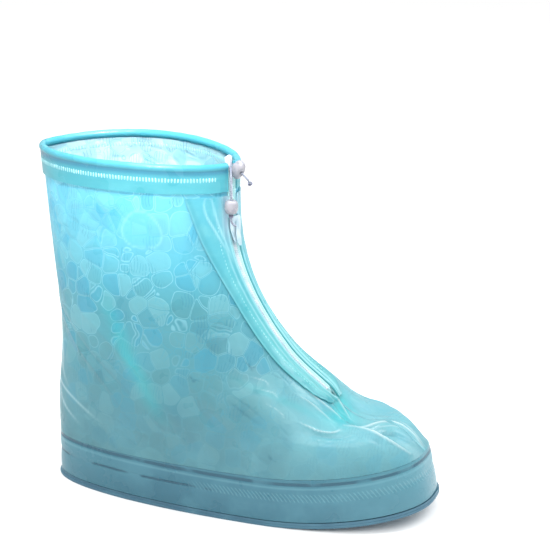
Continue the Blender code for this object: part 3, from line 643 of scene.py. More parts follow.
class Graph:
    """A material and its nodes."""

    def __init__(self, name):
        self.material = bpy.data.materials.new(name)
        self.material.use_nodes = True
        self.tree = self.material.node_tree
        self.tree.nodes.clear()

    def node(self, kind, inputs=None, **settings):
        made = self.tree.nodes.new(kind)
        for key, value in settings.items():
            setattr(made, key, value)
        for key, value in (inputs or {}).items():
            socket = made.inputs[key]
            if isinstance(value, bpy.types.NodeSocket):
                self.tree.links.new(value, socket)
            else:
                socket.default_value = value
        return made

    def sheet(self):
        return self.node("ShaderNodeUVMap", uv_map="sheet").outputs[0]

    def place(self):
        return self.node("ShaderNodeTexCoord").outputs["Object"]

    def field(self, name):
        return self.node("ShaderNodeAttribute", attribute_name=name).outputs["Fac"]

    def part(self, vector, axis):
        return self.node("ShaderNodeSeparateXYZ", {0: vector}).outputs[axis]

    def math(self, operation, a, b=0.0):
        return self.node("ShaderNodeMath", {0: a, 1: b}, operation=operation).outputs[0]

    def vector(self, operation, inputs):
        return self.node("ShaderNodeVectorMath", inputs, operation=operation).outputs[0]

    def times(self, a, b):
        return self.math("MULTIPLY", a, b)

    def plus(self, a, b):
        return self.math("ADD", a, b)

    def minus(self, a, b):
        return self.math("SUBTRACT", a, b)

    def between(self, value, low, high, to_low=0.0, to_high=1.0, smooth=True):
        kind = "SMOOTHSTEP" if smooth else "LINEAR"
        inputs = {"Value": value, "From Min": low, "From Max": high, "To Min": to_low, "To Max": to_high}
        return self.node("ShaderNodeMapRange", inputs, interpolation_type=kind).outputs[0]

    def noise(self, vector, scale, detail=2.0, roughness=0.5, output="Fac"):
        inputs = {"Vector": vector, "Scale": scale, "Detail": detail, "Roughness": roughness}
        return self.node("ShaderNodeTexNoise", inputs).outputs[output]

    def voronoi(self, vector, scale, feature):
        inputs = {"Vector": vector, "Scale": scale, "Randomness": 0.80}
        return self.node("ShaderNodeTexVoronoi", inputs, feature=feature, voronoi_dimensions="3D").outputs

    def mix(self, factor, a, b):
        made = self.node("ShaderNodeMix", data_type="RGBA", clamp_factor=True)
        for index, value in ((0, factor), (6, a), (7, b)):
            if isinstance(value, bpy.types.NodeSocket):
                self.tree.links.new(value, made.inputs[index])
            else:
                made.inputs[index].default_value = value
        return made.outputs[2]

    def ramp(self, value, stops):
        made = self.node("ShaderNodeValToRGB", {0: value})
        elements = made.color_ramp.elements
        while len(elements) > 1:
            elements.remove(elements[-1])
        for index, (position, color) in enumerate(stops):
            element = elements[0] if index == 0 else elements.new(position)
            element.position = position
            element.color = color
        return made.outputs[0]

    def bump(self, height, strength, distance, normal=None):
        inputs = {"Height": height, "Strength": strength, "Distance": distance}
        if normal is not None:
            inputs["Normal"] = normal
        return self.node("ShaderNodeBump", inputs).outputs[0]

    def surface(self, color, roughness, normal=None, light_through=0.0, clear=0.0, **sockets):
        """A Principled shader, part of it letting light through, and a part of it see-through."""
        inputs = {"Base Color": color, "Roughness": roughness}
        if normal is not None:
            inputs["Normal"] = normal
        inputs.update({key.replace("_", " "): value for key, value in sockets.items()})
        shader = self.node("ShaderNodeBsdfPrincipled", inputs).outputs[0]
        if light_through:
            through = {"Color": color}
            if normal is not None:
                through["Normal"] = normal
            glow = self.node("ShaderNodeBsdfTranslucent", through).outputs[0]
            shader = self.node("ShaderNodeMixShader", {0: light_through, 1: shader, 2: glow}).outputs[0]
        if isinstance(clear, bpy.types.NodeSocket) or clear:
            gap = self.node("ShaderNodeBsdfTransparent", {"Color": (0.85, 0.98, 1.0, 1)}).outputs[0]
            shader = self.node("ShaderNodeMixShader", {0: clear, 1: shader, 2: gap}).outputs[0]
        self.node("ShaderNodeOutputMaterial", {"Surface": shader})
        return self.material


def pebbles(graph, place, scale, warp):
    """Embossed cobblestones: (outline, inside, random number of the stone, dome height, warped place)."""
    drift = graph.noise(place, scale * 0.45, 2.0, output="Color")
    moved = graph.vector("SUBTRACT", {0: drift, 1: (0.5, 0.5, 0.5)})
    moved = graph.vector("SCALE", {0: moved, "Scale": warp})
    warped = graph.vector("ADD", {0: place, 1: moved})
    edge = graph.voronoi(warped, scale, "DISTANCE_TO_EDGE")["Distance"]
    cell = graph.voronoi(warped, scale, "F1")
    middle = graph.times(graph.minus(0.72, cell["Distance"]), 0.8)
    depth = graph.node("ShaderNodeMath", {0: edge, 1: middle, 2: 0.10}, operation="SMOOTH_MIN").outputs[0]
    outline = graph.between(graph.math("ABSOLUTE", graph.minus(depth, 0.030)), 0.020, 0.004)
    inside = graph.between(depth, 0.020, 0.045)
    dome = graph.between(depth, 0.01, 0.20)
    return outline, inside, graph.part(cell["Color"], 0), dome, warped


UPPER_TINTS = (
    # field, strength, color
    ("big_stone", 0.45, (114, 204, 222)),
    # painted light: paler patches where the toe's top facets and the vamp face the light
    ("glow", 0.45, (152, 218, 223)),
    # painted shade: deeper teal where the sheet bunches at the zip's end, with the greener TINTS lines in the
    # same field
    ("pinch", 0.90, (62, 198, 204)),
    # painted highlights on the heel's folds
    ("streak_highlight", 0.75, (196, 232, 236)),
    # painted shade in the pinched dents and in the toe's valley
    ("mark_shade", 0.70, (40, 108, 132)),
    # painted highlight along the fold ridges
    ("crest_highlight", 0.80, (226, 246, 248)),
)
PLACKET_TINTS = (
    # field, strength, color
    # painted shade in the hollow inside the outer edge
    ("deep", 0.40, (54, 146, 166)),
    ("pale", 0.75, (178, 186, 204)),
    # painted highlight on the placket's ridges and loop fold
    ("crest_highlight", 0.72, (176, 226, 234)),
)


def upper_vinyl(name, inside=False):
    graph = Graph(name)
    place = graph.place()
    x, z = graph.part(place, 0), graph.part(place, 2)
    outline, stone, chance, dome, warped = pebbles(graph, place, 74.0, 0.010)
    outline_2, stone_2, chance_2, dome_2, _ = pebbles(graph, place, 104.0, 0.008)
    high = graph.between(z, 0.040, 0.150, 0.30, 1.0)
    if inside:
        # Paler towards the top: painted shade deeper down inside the shaft
        base = graph.ramp(graph.times(z, 4.0), (
            (0.10, srgb(150, 205, 212)), (0.45, srgb(186, 232, 236)), (0.72, srgb(218, 250, 250)),
            (0.90, srgb(232, 254, 253)), (1.0, srgb(232, 254, 253)),
        ))
    else:
        # Grey-teal towards the bottom: painted shade lower down the sheet
        base = graph.ramp(graph.times(z, 4.0), (
            (0.12, srgb(94, 150, 161)), (0.30, srgb(99, 158, 169)), (0.46, srgb(97, 162, 172)),
            (0.60, srgb(92, 162, 173)), (0.72, srgb(102, 190, 208)), (0.86, srgb(114, 207, 231)),
            (0.93, srgb(114, 208, 232)), (1.0, srgb(106, 198, 220)),
        ))
        # Paler at the toe's front: painted light
        front = graph.times(graph.between(x, 0.035, 0.10), graph.between(z, 0.035, 0.07))
        base = graph.mix(front, base, srgb(134, 200, 210))
    cloud = graph.noise(place, 17.0, 3.0, 0.55)
    base = graph.mix(graph.between(cloud, 0.40, 0.68, 0.0, 0.34), base, srgb(124, 194, 206))
    murk = graph.noise(place, 26.0, 3.0, 0.6)
    base = graph.mix(graph.between(murk, 0.50, 0.72, 0.0, 0.34), base, srgb(76, 140, 160))
    deep = graph.times(graph.between(chance, 0.50, 0.95), graph.times(high, 0.42))
    base = graph.mix(graph.times(deep, stone), base, srgb(70, 176, 208))
    light = graph.times(graph.between(chance, 0.40, 0.08), graph.times(high, 0.34))
    base = graph.mix(graph.times(light, stone), base, srgb(150, 216, 224))
    gap = graph.times(graph.minus(1.0, stone), graph.times(high, 0.20))
    base = graph.mix(gap, base, srgb(96, 186, 206))
    wave_inputs = {"Vector": warped, "Scale": 150.0, "Distortion": 4.0, "Detail": 2.0, "Detail Scale": 1.2}
    waves = graph.node("ShaderNodeTexWave", wave_inputs).outputs["Fac"]
    rippled = graph.times(graph.between(chance_2, 0.74, 0.80), graph.times(stone_2, high))
    ripple = graph.times(graph.between(waves, 0.55, 0.95), rippled)
    patchy = graph.between(graph.noise(place, 22.0, 1.0), 0.38, 0.60, 0.30, 1.0)
    faint = graph.between(z, 0.075, 0.170, 0.05, 0.55)
    lines = graph.times(graph.times(outline, faint), patchy)
    if not inside:
        small = graph.minus(1.0, graph.field("big_stone"))
        lines = graph.math("MAXIMUM", graph.times(lines, small),
                           graph.times(graph.field("big_ring"), 0.5))
    base = graph.mix(lines, base, srgb(172, 232, 242))
    lines_2 = graph.times(outline_2, graph.between(patchy, 0.9, 0.3, 0.04, 0.40))
    base = graph.mix(graph.times(lines_2, high), base, srgb(70, 176, 204))
    base = graph.mix(graph.times(ripple, 0.30), base, srgb(52, 142, 172))
    if not inside:
        for name, strength, color in UPPER_TINTS:
            base = graph.mix(graph.times(graph.field(name), strength), base, srgb(*color))
    fine = graph.noise(place, 900.0, 2.0)
    relief = graph.times(dome, graph.between(z, 0.08, 0.16, 0.10, 1.0))
    relief = graph.plus(relief, graph.times(ripple, 0.25))
    relief = graph.plus(relief, graph.times(dome_2, 0.25))
    normal = graph.bump(relief, 0.6, 0.0007)
    wide = graph.noise(place, 52.0, 3.0)
    normal = graph.bump(wide, 0.6, 0.0016, normal)
    normal = graph.bump(fine, 0.10, 0.0002, normal)
    rough = graph.between(graph.noise(place, 45.0, 2.0), 0.3, 0.7, 0.24, 0.42)
    clear = graph.between(z, 0.10, 0.20, 0.02, 0.30 if inside else 0.15)
    if inside:
        return graph.surface(base, rough, normal, light_through=0.34, clear=clear, Specular_IOR_Level=0.35)
    return graph.surface(base, rough, normal, light_through=0.40, clear=clear, Specular_IOR_Level=0.5,
                         Coat_Weight=0.15, Coat_Roughness=0.18)


def placket_vinyl(name):
    """A strip with a painted highlight along its zip edge and ridges, a paler top and painted shade in the
    hollow inside its outer edge.
    """
    graph = Graph(name)
    place = graph.place()
    streaks = graph.noise(place, 70.0, 3.0, 0.6)
    z = graph.part(place, 2)
    base = graph.mix(graph.between(z, 0.10, 0.21), srgb(92, 184, 190), srgb(90, 182, 198))
    base = graph.mix(graph.between(streaks, 0.42, 0.72, 0.0, 0.5), base, srgb(122, 202, 208))
    for name, strength, color in PLACKET_TINTS:
        base = graph.mix(graph.times(graph.field(name), strength), base, srgb(*color))
    normal = graph.bump(streaks, 0.4, 0.0006)
    normal = graph.bump(graph.noise(place, 700.0, 2.0), 0.12, 0.0002, normal)
    rough = graph.between(streaks, 0.3, 0.7, 0.26, 0.44)
    return graph.surface(base, rough, normal, light_through=0.30, Specular_IOR_Level=0.5, Coat_Weight=0.2,
                         Coat_Roughness=0.16)


def plain_vinyl(name, color, pale, light_through, deep=None):
    """Smooth vinyl with soft streaks along the sheet, lower in tone by the field deep where that is given; on
    the hem this is painted shade under the tube.
    """
    graph = Graph(name)
    place = graph.place()
    stretch = {"Vector": graph.sheet(), "Scale": (0.25, 1.0, 1.0)}
    stretched = graph.node("ShaderNodeMapping", stretch).outputs[0]
    streaks = graph.noise(stretched, 160.0, 3.0, 0.6)
    cloud = graph.noise(place, 30.0, 2.0)
    base = graph.mix(graph.between(streaks, 0.42, 0.75, 0.0, 0.25), color, pale)
    base = graph.mix(graph.between(cloud, 0.40, 0.70, 0.0, 0.4), base, pale)
    if deep:
        base = graph.mix(graph.times(graph.field("deep"), 0.80), base, deep)
    normal = graph.bump(streaks, 0.35, 0.0004)
    normal = graph.bump(graph.noise(place, 700.0, 2.0), 0.12, 0.0002, normal)
    roughness = graph.between(cloud, 0.3, 0.7, 0.2, 0.38)
    return graph.surface(base, roughness, normal, light_through=light_through, Specular_IOR_Level=0.5,
                         Coat_Weight=0.2, Coat_Roughness=0.15)


def band_vinyl(name):
    """The side wall: painted shade along the seam at its top, a faint painted highlight below it, a broken
    line lower down, and slanted ticks beside the toe.
    """
    graph = Graph(name)
    flat, place = graph.sheet(), graph.place()
    u, v = graph.part(flat, 0), graph.part(flat, 1)
    x = graph.part(place, 0)
    # Lighter at the heel and the toe than in the middle: painted light where the ends catch the lamps
    base = graph.ramp(graph.between(x, -0.13, 0.17, smooth=False), (
        (0.0, srgb(72, 136, 152)), (0.35, srgb(56, 113, 132)), (0.75, srgb(62, 120, 138)),
        (1.0, srgb(84, 145, 160)),
    ))
    below = graph.minus(0.0303, v)
    base = graph.mix(graph.between(below, 0.004, 0.026, 0.0, 0.28), base, srgb(52, 96, 116))
    cloud = graph.noise(place, 34.0, 3.0, 0.6)
    base = graph.mix(graph.between(cloud, 0.42, 0.70, 0.0, 0.35), base, srgb(92, 150, 166))
    breaks = graph.noise(flat, 42.0, 2.0)
    wander = graph.times(graph.minus(graph.noise(flat, 24.0, 1.0), 0.5), 0.002)
    away = graph.math("ABSOLUTE", graph.plus(graph.minus(below, 0.0135), wander))
    second = graph.times(graph.between(away, 0.0011, 0.0004), graph.between(breaks, 0.42, 0.54))
    second = graph.times(second, graph.between(x, 0.035, 0.0))
    base = graph.mix(graph.times(second, 0.75), base, srgb(34, 76, 96))
    # Painted shade along the top seam, under the upper sheet's lip
    away = graph.math("ABSOLUTE", graph.minus(below, 0.0012))
    seam = graph.times(graph.between(away, 0.0016, 0.0006), graph.between(breaks, 0.36, 0.48, 0.35, 1.0))
    base = graph.mix(graph.times(seam, 0.85), base, srgb(36, 82, 102))
    # A faint painted highlight along the band's upper bulge
    away = graph.math("ABSOLUTE", graph.minus(below, 0.0045))
    base = graph.mix(graph.times(graph.between(away, 0.0012, 0.0003), 0.3), base, srgb(112, 170, 184))
    slanted = graph.plus(u, graph.times(v, 0.55))
    saw = graph.math("FRACT", graph.times(slanted, 330.0))
    tick = graph.between(graph.math("ABSOLUTE", graph.minus(saw, 0.5)), 0.22, 0.08)
    rows = graph.times(graph.between(below, 0.008, 0.0095), graph.between(below, 0.0155, 0.014))
    rows = graph.times(rows, graph.between(x, -0.01, 0.03))
    tick = graph.times(tick, rows)
    base = graph.mix(graph.times(tick, 0.34), base, srgb(122, 182, 194))
    relief = graph.minus(graph.times(tick, 0.4), graph.plus(second, seam))
    normal = graph.bump(relief, 0.6, 0.0008)
    normal = graph.bump(graph.noise(place, 55.0, 3.0), 0.45, 0.001, normal)
    normal = graph.bump(graph.noise(place, 800.0, 2.0), 0.12, 0.0002, normal)
    rough = graph.between(cloud, 0.3, 0.7, 0.22, 0.42)
    return graph.surface(base, rough, normal, light_through=0.12, Specular_IOR_Level=0.45, Coat_Weight=0.12,
                         Coat_Roughness=0.2)


def sole_vinyl(name):
    graph = Graph(name)
    place = graph.place()
    cloud = graph.noise(place, 40.0, 3.0)
    base = graph.mix(graph.between(cloud, 0.4, 0.7, 0.0, 0.5), srgb(66, 106, 126), srgb(82, 130, 148))
    grain = graph.noise(place, 900.0, 3.0)
    scuff = graph.noise(place, 150.0, 4.0, 0.7)
    base = graph.mix(graph.between(scuff, 0.55, 0.8, 0.0, 0.3), base, srgb(112, 146, 160))
    normal = graph.bump(grain, 0.25, 0.0003)
    rough = graph.between(scuff, 0.3, 0.7, 0.35, 0.6)
    return graph.surface(base, rough, normal, light_through=0.05, Specular_IOR_Level=0.4)


def woven(name, color, pale):
    """Fine twill: slanted ribs crossed by threads."""
    graph = Graph(name)
    flat, place = graph.sheet(), graph.place()
    u, v = graph.part(flat, 0), graph.part(flat, 1)
    slant = graph.math("SINE", graph.times(graph.plus(u, v), THREADS * 4.0))
    cross = graph.math("SINE", graph.times(u, THREADS * 6.0))
    threads = graph.plus(graph.times(slant, 0.35), graph.times(cross, 0.2))
    threads = graph.plus(threads, 0.5)
    base = graph.mix(graph.between(threads, 0.1, 0.9, 0.0, 1.0), color, pale)
    fuzz = graph.noise(place, 500.0, 3.0)
    base = graph.mix(graph.between(fuzz, 0.4, 0.7, 0.0, 0.3), base, color)
    normal = graph.bump(threads, 0.6, 0.0003)
    rough = graph.between(fuzz, 0.3, 0.7, 0.6, 0.85)
    return graph.surface(base, rough, normal, light_through=0.2, Specular_IOR_Level=0.3, Sheen_Weight=0.2)


def moulded(name, color, pale, roughness=(0.18, 0.34), light_through=0.15):
    """Smooth moulded plastic with a soft cloud in it."""
    graph = Graph(name)
    place = graph.place()
    cloud = graph.noise(place, 160.0, 2.0)
    base = graph.mix(graph.between(cloud, 0.35, 0.7), color, pale)
    normal = graph.bump(graph.noise(place, 900.0, 2.0), 0.15, 0.0002)
    rough = graph.between(cloud, 0.3, 0.7, *roughness)
    return graph.surface(base, rough, normal, light_through=light_through, Specular_IOR_Level=0.55,
                         Coat_Weight=0.5, Coat_Roughness=0.08)


def corded(name, color, pale):
    graph = Graph(name)
    place = graph.place()
    fuzz = graph.noise(place, 1400.0, 3.0)
    base = graph.mix(graph.between(fuzz, 0.35, 0.7), color, pale)
    normal = graph.bump(fuzz, 0.5, 0.0002)
    rough = graph.between(fuzz, 0.3, 0.7, 0.65, 0.9)
    return graph.surface(base, rough, normal, Specular_IOR_Level=0.25, Sheen_Weight=0.3)


# Camera, light and floor


def place_camera():
    azimuth, elevation = math.radians(CAMERA_AZIMUTH), math.radians(CAMERA_ELEVATION)
    back = Vector((math.sin(azimuth) * math.cos(elevation), -math.cos(azimuth) * math.cos(elevation),
                   math.sin(elevation)))
    data = bpy.data.cameras.new("camera")
    data.sensor_width = 36.0
    data.lens = CAMERA_LENS
    data.shift_x, data.shift_y = CAMERA_SHIFT
    data.clip_start = 0.05
    data.clip_end = 20.0
    camera = bpy.data.objects.new("camera", data)
    camera.location = Vector(CAMERA_TARGET) + back * CAMERA_DISTANCE
    camera.rotation_euler = (-back).to_track_quat("-Z", "Y").to_euler()
    bpy.context.scene.collection.objects.link(camera)
    bpy.context.scene.camera = camera


def add_light(name, location, target, size, power, spread):
    data = bpy.data.lights.new(name, "AREA")
    data.shape = "RECTANGLE"
    data.size, data.size_y = size
    data.energy = power
    data.spread = math.radians(spread)
    light = bpy.data.objects.new(name, data)
    light.location = location
    light.rotation_euler = (Vector(target) - Vector(location)).to_track_quat("-Z", "Y").to_euler()
    bpy.context.scene.collection.objects.link(light)


def light_room():
    world = bpy.data.worlds.new("studio")
    world.use_nodes = True
    world.node_tree.nodes["Background"].inputs["Color"].default_value = (1.0, 1.0, 1.0, 1.0)
    world.node_tree.nodes["Background"].inputs["Strength"].default_value = 1.0
    bpy.context.scene.world = world
    bpy.context.scene.view_settings.view_transform = "Standard"
    for row in LIGHTS:
        add_light(*row)


def lay_floor():
    graph = Graph("floor_paint")
    place = graph.place()
    cloud = graph.noise(place, 3.0, 2.0)
    base = graph.mix(cloud, (0.95, 0.95, 0.95, 1), (0.98, 0.98, 0.98, 1))
    made = graph.surface(base, 0.9, Specular_IOR_Level=0.1)
    size = 6.0
    floor = add_mesh("floor", [(-size, -size, 0), (size, -size, 0), (size, size, 0), (-size, size, 0)],
                     [(0, 1, 2, 3)], [made])


# Pieces


def cord_end_knots(end):
    """The points of a free end's route, from the middle of its mouth of the tunnel."""
    side, route = {"near": (-1, NEAR_CORD_ROUTE), "far": (1, FAR_CORD_ROUTE)}[end]
    point, _, _, outward = skin_frame(TUNNEL_LEVEL, column_reach(TUNNEL_LEVEL, 0, side))
    mouth = point[0] - outward[0] * SHEET / 2
    return [mouth + np.array(offset) * MM for offset in route]


def make_cord_end(end, look):
    knots = cord_end_knots(end)
    knots[0] = knots[0] + unit(knots[1] - knots[0]) * 2 * CLEARANCE
    path = smooth_route(knots, 0.25 * MM)
    taper = np.ones(len(path))
    taper[-1] = 0.55
    rings = rope_points(path, CORD / 2, 15, CORD_STRANDS, CORD_TURNS, 0.22, taper)
    faces = loft_faces(len(rings), 15)
    node = "cord_end_" + end
    made = add_piece(node + "_twist", rings, faces, [look], "cord", [node], smooth=60)
    route = smooth_route(knots, 1.5 * MM)
    return made, route


def make_drawcord(look):
    points, _, _, outward = skin_frame(TUNNEL_LEVEL, tunnel_reaches(160))
    path = smooth_route(list((points - outward * SHEET / 2)[::4]), 0.8 * MM)
    rings = rope_points(path, CORD / 2, 12, CORD_STRANDS, CORD_TURNS, 0.18)
    add_piece("drawcord_twist", rings, loft_faces(len(rings), 12), [look], "cord", ["drawcord"], smooth=60)


def on_cord(end, distance):
    """(middle, along, across, third) at a distance along a free end, in mm from its mouth."""
    line = smooth_route(cord_end_knots(end), 0.1 * MM)
    reached = distances(line)
    index = min(int(np.searchsorted(reached, distance * MM)), len(line) - 2)
    along = unit(line[index + 1] - line[index - 1])
    sideways = np.cross(along, (0, 0, 1.0))
    across = unit(sideways) if np.linalg.norm(sideways) > 0.3 else np.array([0, 1.0, 0])
    third = unit(np.cross(across, along))
    return line[index], along, np.cross(along, third), third


def bead_outline(count):
    """(share of the half size along the cord, share of the other half sizes), from mouth to mouth."""
    heights = np.sin(np.linspace(-math.pi / 2, math.pi / 2, count))
    widths = np.clip(1 - np.abs(heights) ** 2.6, 0, 1) ** 0.5
    return heights, 0.52 + 0.48 * widths


def make_bead(name, end, half_along, half_across, half_third, distance, look):
    sides = 44
    middle, along, across, third = on_cord(end, distance)
    angle = circle(sides)
    bore = CORD / MM / 2 + CORD_FIT / MM
    profile = [(h * half_along, w * half_across, w * half_third) for h, w in zip(*bead_outline(25))]
    lip = 0.35
    profile += [(half_along - 0.2 * lip, bore + lip, bore + lip), (half_along - 1.5 * lip, bore, bore)]
    profile += [(-half_along + 1.5 * lip, bore, bore), (-half_along + 0.2 * lip, bore + lip, bore + lip)]
    rings = [
        middle + (along * forward + across * (np.cos(angle) * width)[:, None]
                  + third * (np.sin(angle) * depth)[:, None]) * MM
        for forward, width, depth in profile
    ]
    faces = list(grid_faces(len(rings), sides, closed=True))
    last = (len(rings) - 1) * sides
    for j in range(sides):
        k = (j + 1) % sides
        faces.append((last + j, last + k, k, j))
    return add_piece(name + "_pearl", rings, faces, [look], "cord_bead", [name], smooth=50)


def make_knot(name, end, half_width, distance, look):
    """The cord wound round itself and pulled tight."""
    middle, along, across, third = on_cord(end, distance)
    turn = np.linspace(0, 1, 150)
    angle = 2 * math.pi * 2.5 * turn
    radius = (half_width - 0.72) * MM * (0.82 + 0.18 * np.cos(angle * 1.5))
    height = 0.78 * MM * np.sin(2 * math.pi * 1.5 * turn + 0.6)
    path = middle + across * (np.cos(angle) * radius)[:, None] + third * (np.sin(angle) * radius)[:, None]
    path = path + along * height[:, None]
    taper = np.clip(np.minimum(turn, 1 - turn) * 12, 0.15, 1)
    rings = rope_points(path, 0.70 * MM, 12, CORD_STRANDS, CORD_TURNS, 0.18, taper)
    return add_piece(name + "_wound", rings, loft_faces(len(rings), 12), [look], "cord", [name], smooth=60)


def panel_grid(side, columns):
    levels = np.concatenate([np.linspace(0.0, 3.1, 116), np.linspace(3.1, PANEL_TOP_LEVEL, 116)[1:]])
    share = np.linspace(0, 1, columns) ** 1.35
    reaches = []
    for level in levels:
        start = zip_middle(level) + side * max(0.02 * MM, float(front_edge(level)) - CLEARANCE / 2)
        end = side * (half_length(level, side) - 0.02 * MM)
        row = start + (end - start) * share
        reaches.append(row[::-1] if side < 0 else row)
    return levels, np.array(reaches)


def pinch_field(levels, reaches, level, reach, tall, wide):
    """A soft spot round a place on the skin, its sizes in mm."""
    up = (climb(np.asarray(levels))[:, None] - climb(level)) / (tall * MM)
    out = (reaches - reach * MM) / (wide * MM)
    return np.exp(-up * up - out * out)


def make_upper(name, node, side, looks):
    levels, reaches = panel_grid(side, 172)
    height = line_field(levels, reaches, CREASES)
    height += line_field(levels, reaches, SHADED_DENTS) * -0.5
    edge = np.clip(levels / 0.12, 0, 1)[:, None] * np.clip((PANEL_TOP_LEVEL - levels) / 0.5, 0, 1)[:, None]
    height = height * edge
    level, reach, radius = BIG_STONE
    up = (climb(levels)[:, None] - climb(level)) / MM
    out = reaches / MM - reach
    stone_away = np.hypot(up, 0.9 * out) + 0.8 * np.sin(3 * np.arctan2(up, out))
    fields = {
        # painted highlight along the fold ridges
        "crest_highlight": line_field(levels, reaches, CREST_HIGHLIGHTS, sharp=True),
        # painted highlights on the heel's folds
        "streak_highlight": line_field(levels, reaches, STREAK_HIGHLIGHTS, sharp=True),
        # painted shade in the pinched dents and in the toe's valley
        "mark_shade": line_field(levels, reaches, SHADED_DENTS, sharp=True),
        "big_stone": 1 - smooth_step(stone_away, radius - 1.2, radius + 0.2),
        "big_ring": np.exp(-((stone_away - radius) / 0.7) ** 2) if side < 0 else np.zeros_like(reaches),
        # painted shade where the sheet bunches at the zip's end, plus the greener TINTS lines
        "pinch": np.clip(pinch_field(levels, reaches, 2.22, -15.0, 10.0, 15.0)
                         + 0.8 * pinch_field(levels, reaches, 2.55, 3.0, 12.0, 12.0)
                         + line_field(levels, reaches, TINTS, sharp=True), 0, 1),
        # painted light on the toe's top facets and on the vamp
        "glow": np.clip(pinch_field(levels, reaches, 1.30, -5.0, 16.0, 9.0)
                        + 0.8 * pinch_field(levels, reaches, 1.9, 9.0, 12.0, 11.0)
                        + 0.5 * pinch_field(levels, reaches, 3.0, -58.0, 16.0, 16.0), 0, 1),
    }
    sheet_piece(name, levels, reaches, height, height - SHEET, looks, "clear_vinyl", [node], fields=fields)


def make_weld(name, levels, reach_of, half_width, height, look):
    """A raised welded seam along a line up the skin."""
    across = np.linspace(-1, 1, 9)
    reaches = np.array([[reach_of(level) + half_width * a for a in across] for level in levels])
    bead = height * np.sqrt(np.clip(1 - across ** 2, 0, 1))[None, :] * np.ones((len(levels), 1))
    lift = line_field(levels, reaches, CREASES)
    lift = lift * np.clip(levels / 0.25, 0, 1)[:, None]
    sheet_piece(name, levels, reaches, lift + 0.05 * MM + bead, lift - 0.25 * MM, [look, look],
                "clear_vinyl", [])


def make_hem(look):
    strip_inner = SHEET / 2 + CLEARANCE
    strip_outer = strip_inner + HEM_SHEET
    first = -math.acos(strip_outer / TUNNEL_RADIUS)
    last = 2 * math.pi - math.acos(strip_inner / TUNNEL_RADIUS)
    angles = np.linspace(first, last, 26)
    bore_radius = CORD / 2 + CORD_FIT
    turn = np.linspace(first, first + 2 * math.pi, 13)[:-1]
    stations = tunnel_reaches(130)
    shares = np.concatenate([np.linspace(0, 1, 130), np.linspace(1, 0, 130)[1:]])
    outer_half = np.arange(len(stations)) < 130
    middle, _, upward, outward = skin_frame(TUNNEL_LEVEL, stations)
    middle = middle - outward * SHEET / 2
    run = distances(middle)
    gather = 1 + 0.035 * np.sin(run * 520) * np.sin(run * 71) + 0.02 * np.sin(run * 173 + 1)
    rows = []
    for a in angles:
        pinch = 1 if abs(math.sin((a - first) / (last - first) * math.pi)) < 0.2 else gather[:, None]
        rows.append(middle + (outward * math.cos(a) + upward * math.sin(a)) * TUNNEL_RADIUS * pinch)
    strip_levels = np.linspace(level_at(HEIGHT - 2 * TUNNEL_RADIUS - 0.8 * MM), HEM_LEVEL, 9)
    inner_rows, outer_rows = [], []
    for level in strip_levels:
        low_start = column_reach(level, 0, -1)
        low_end = column_reach(level, 0, 1)
        ends = np.where(outer_half, low_start, low_end)
        lengths = np.where(outer_half, -half_length(level, -1), half_length(level, 1))
        reaches = ends + (lengths - ends) * shares
        foot, _, _, foot_outward = skin_frame(level, reaches)
        wave = 0.18 * MM * np.sin(run * 95 + 3 * math.sin(level * 9)) * np.sin(run * 31)
        depth = np.clip((strip_levels[0] - level) / (strip_levels[0] - HEM_LEVEL), 0, 1)
        wave = np.maximum(wave, 0) * depth
        inner_rows.append(foot + foot_outward * CLEARANCE)
        outer_rows.append(foot + foot_outward * (CLEARANCE + HEM_SHEET + wave)[:, None])
    rows += inner_rows + outer_rows[::-1]
    rings = np.array(rows).transpose(1, 0, 2)
    bores = np.array([middle + (outward * math.cos(a) + upward * math.sin(a)) * bore_radius for a in turn])
    bores = bores.transpose(1, 0, 2)
    count, size, hole = len(rings), rings.shape[1], len(turn)
    points = np.concatenate([rings.reshape(-1, 3), bores.reshape(-1, 3)])
    faces = list(grid_faces(count, size, closed=True))
    faces += list(grid_faces(count, hole, start=count * size, closed=True, flip=True))
    for station, flip in ((0, False), (count - 1, True)):
        base, inner = station * size, count * size + station * hole
        ring_index = [int(round(k * (len(angles) - 1) / (hole - 1))) for k in range(hole)]
        for k in range(hole):
            a = ring_index[k]
            b = ring_index[k + 1] if k + 1 < hole else len(angles) - 1
            n = (k + 1) % hole
            fan = [base + i for i in range(a, b + 1)] if b > a else [base + a]
            if k + 1 == hole:
                fan = [base + len(angles) - 1, base]
            face = fan + [inner + n, inner + k]
            faces.append(tuple(face if flip else face[::-1]))
        strip = list(range(base + len(angles) - 1, base + size)) + [base]
        faces.append(tuple(strip if flip else strip[::-1]))
    around = distances(rings.mean(axis=0))
    uv = np.stack(np.broadcast_arrays(run[:, None], around[None, :]), axis=-1).reshape(-1, 2)
    uv_bore = np.stack(np.broadcast_arrays(run[:, None], np.zeros((1, hole))), axis=-1).reshape(-1, 2)
    # The tube a little deeper in tone, and painted shade in the creases where the tube meets the strip
    deep = np.zeros((count, size))
    deep[:, :len(angles)] = 0.28
    deep[:, [0, -1]] = 1
    deep[:, [1, -2]] = 0.35
    deep = np.concatenate([deep.ravel(), np.zeros(count * hole)])
    add_piece("top_hem_rolled", points, faces, [look], "hem_vinyl", ["top_hem"],
              uvs=np.concatenate([uv, uv_bore]), smooth=50, fields={"deep": deep})


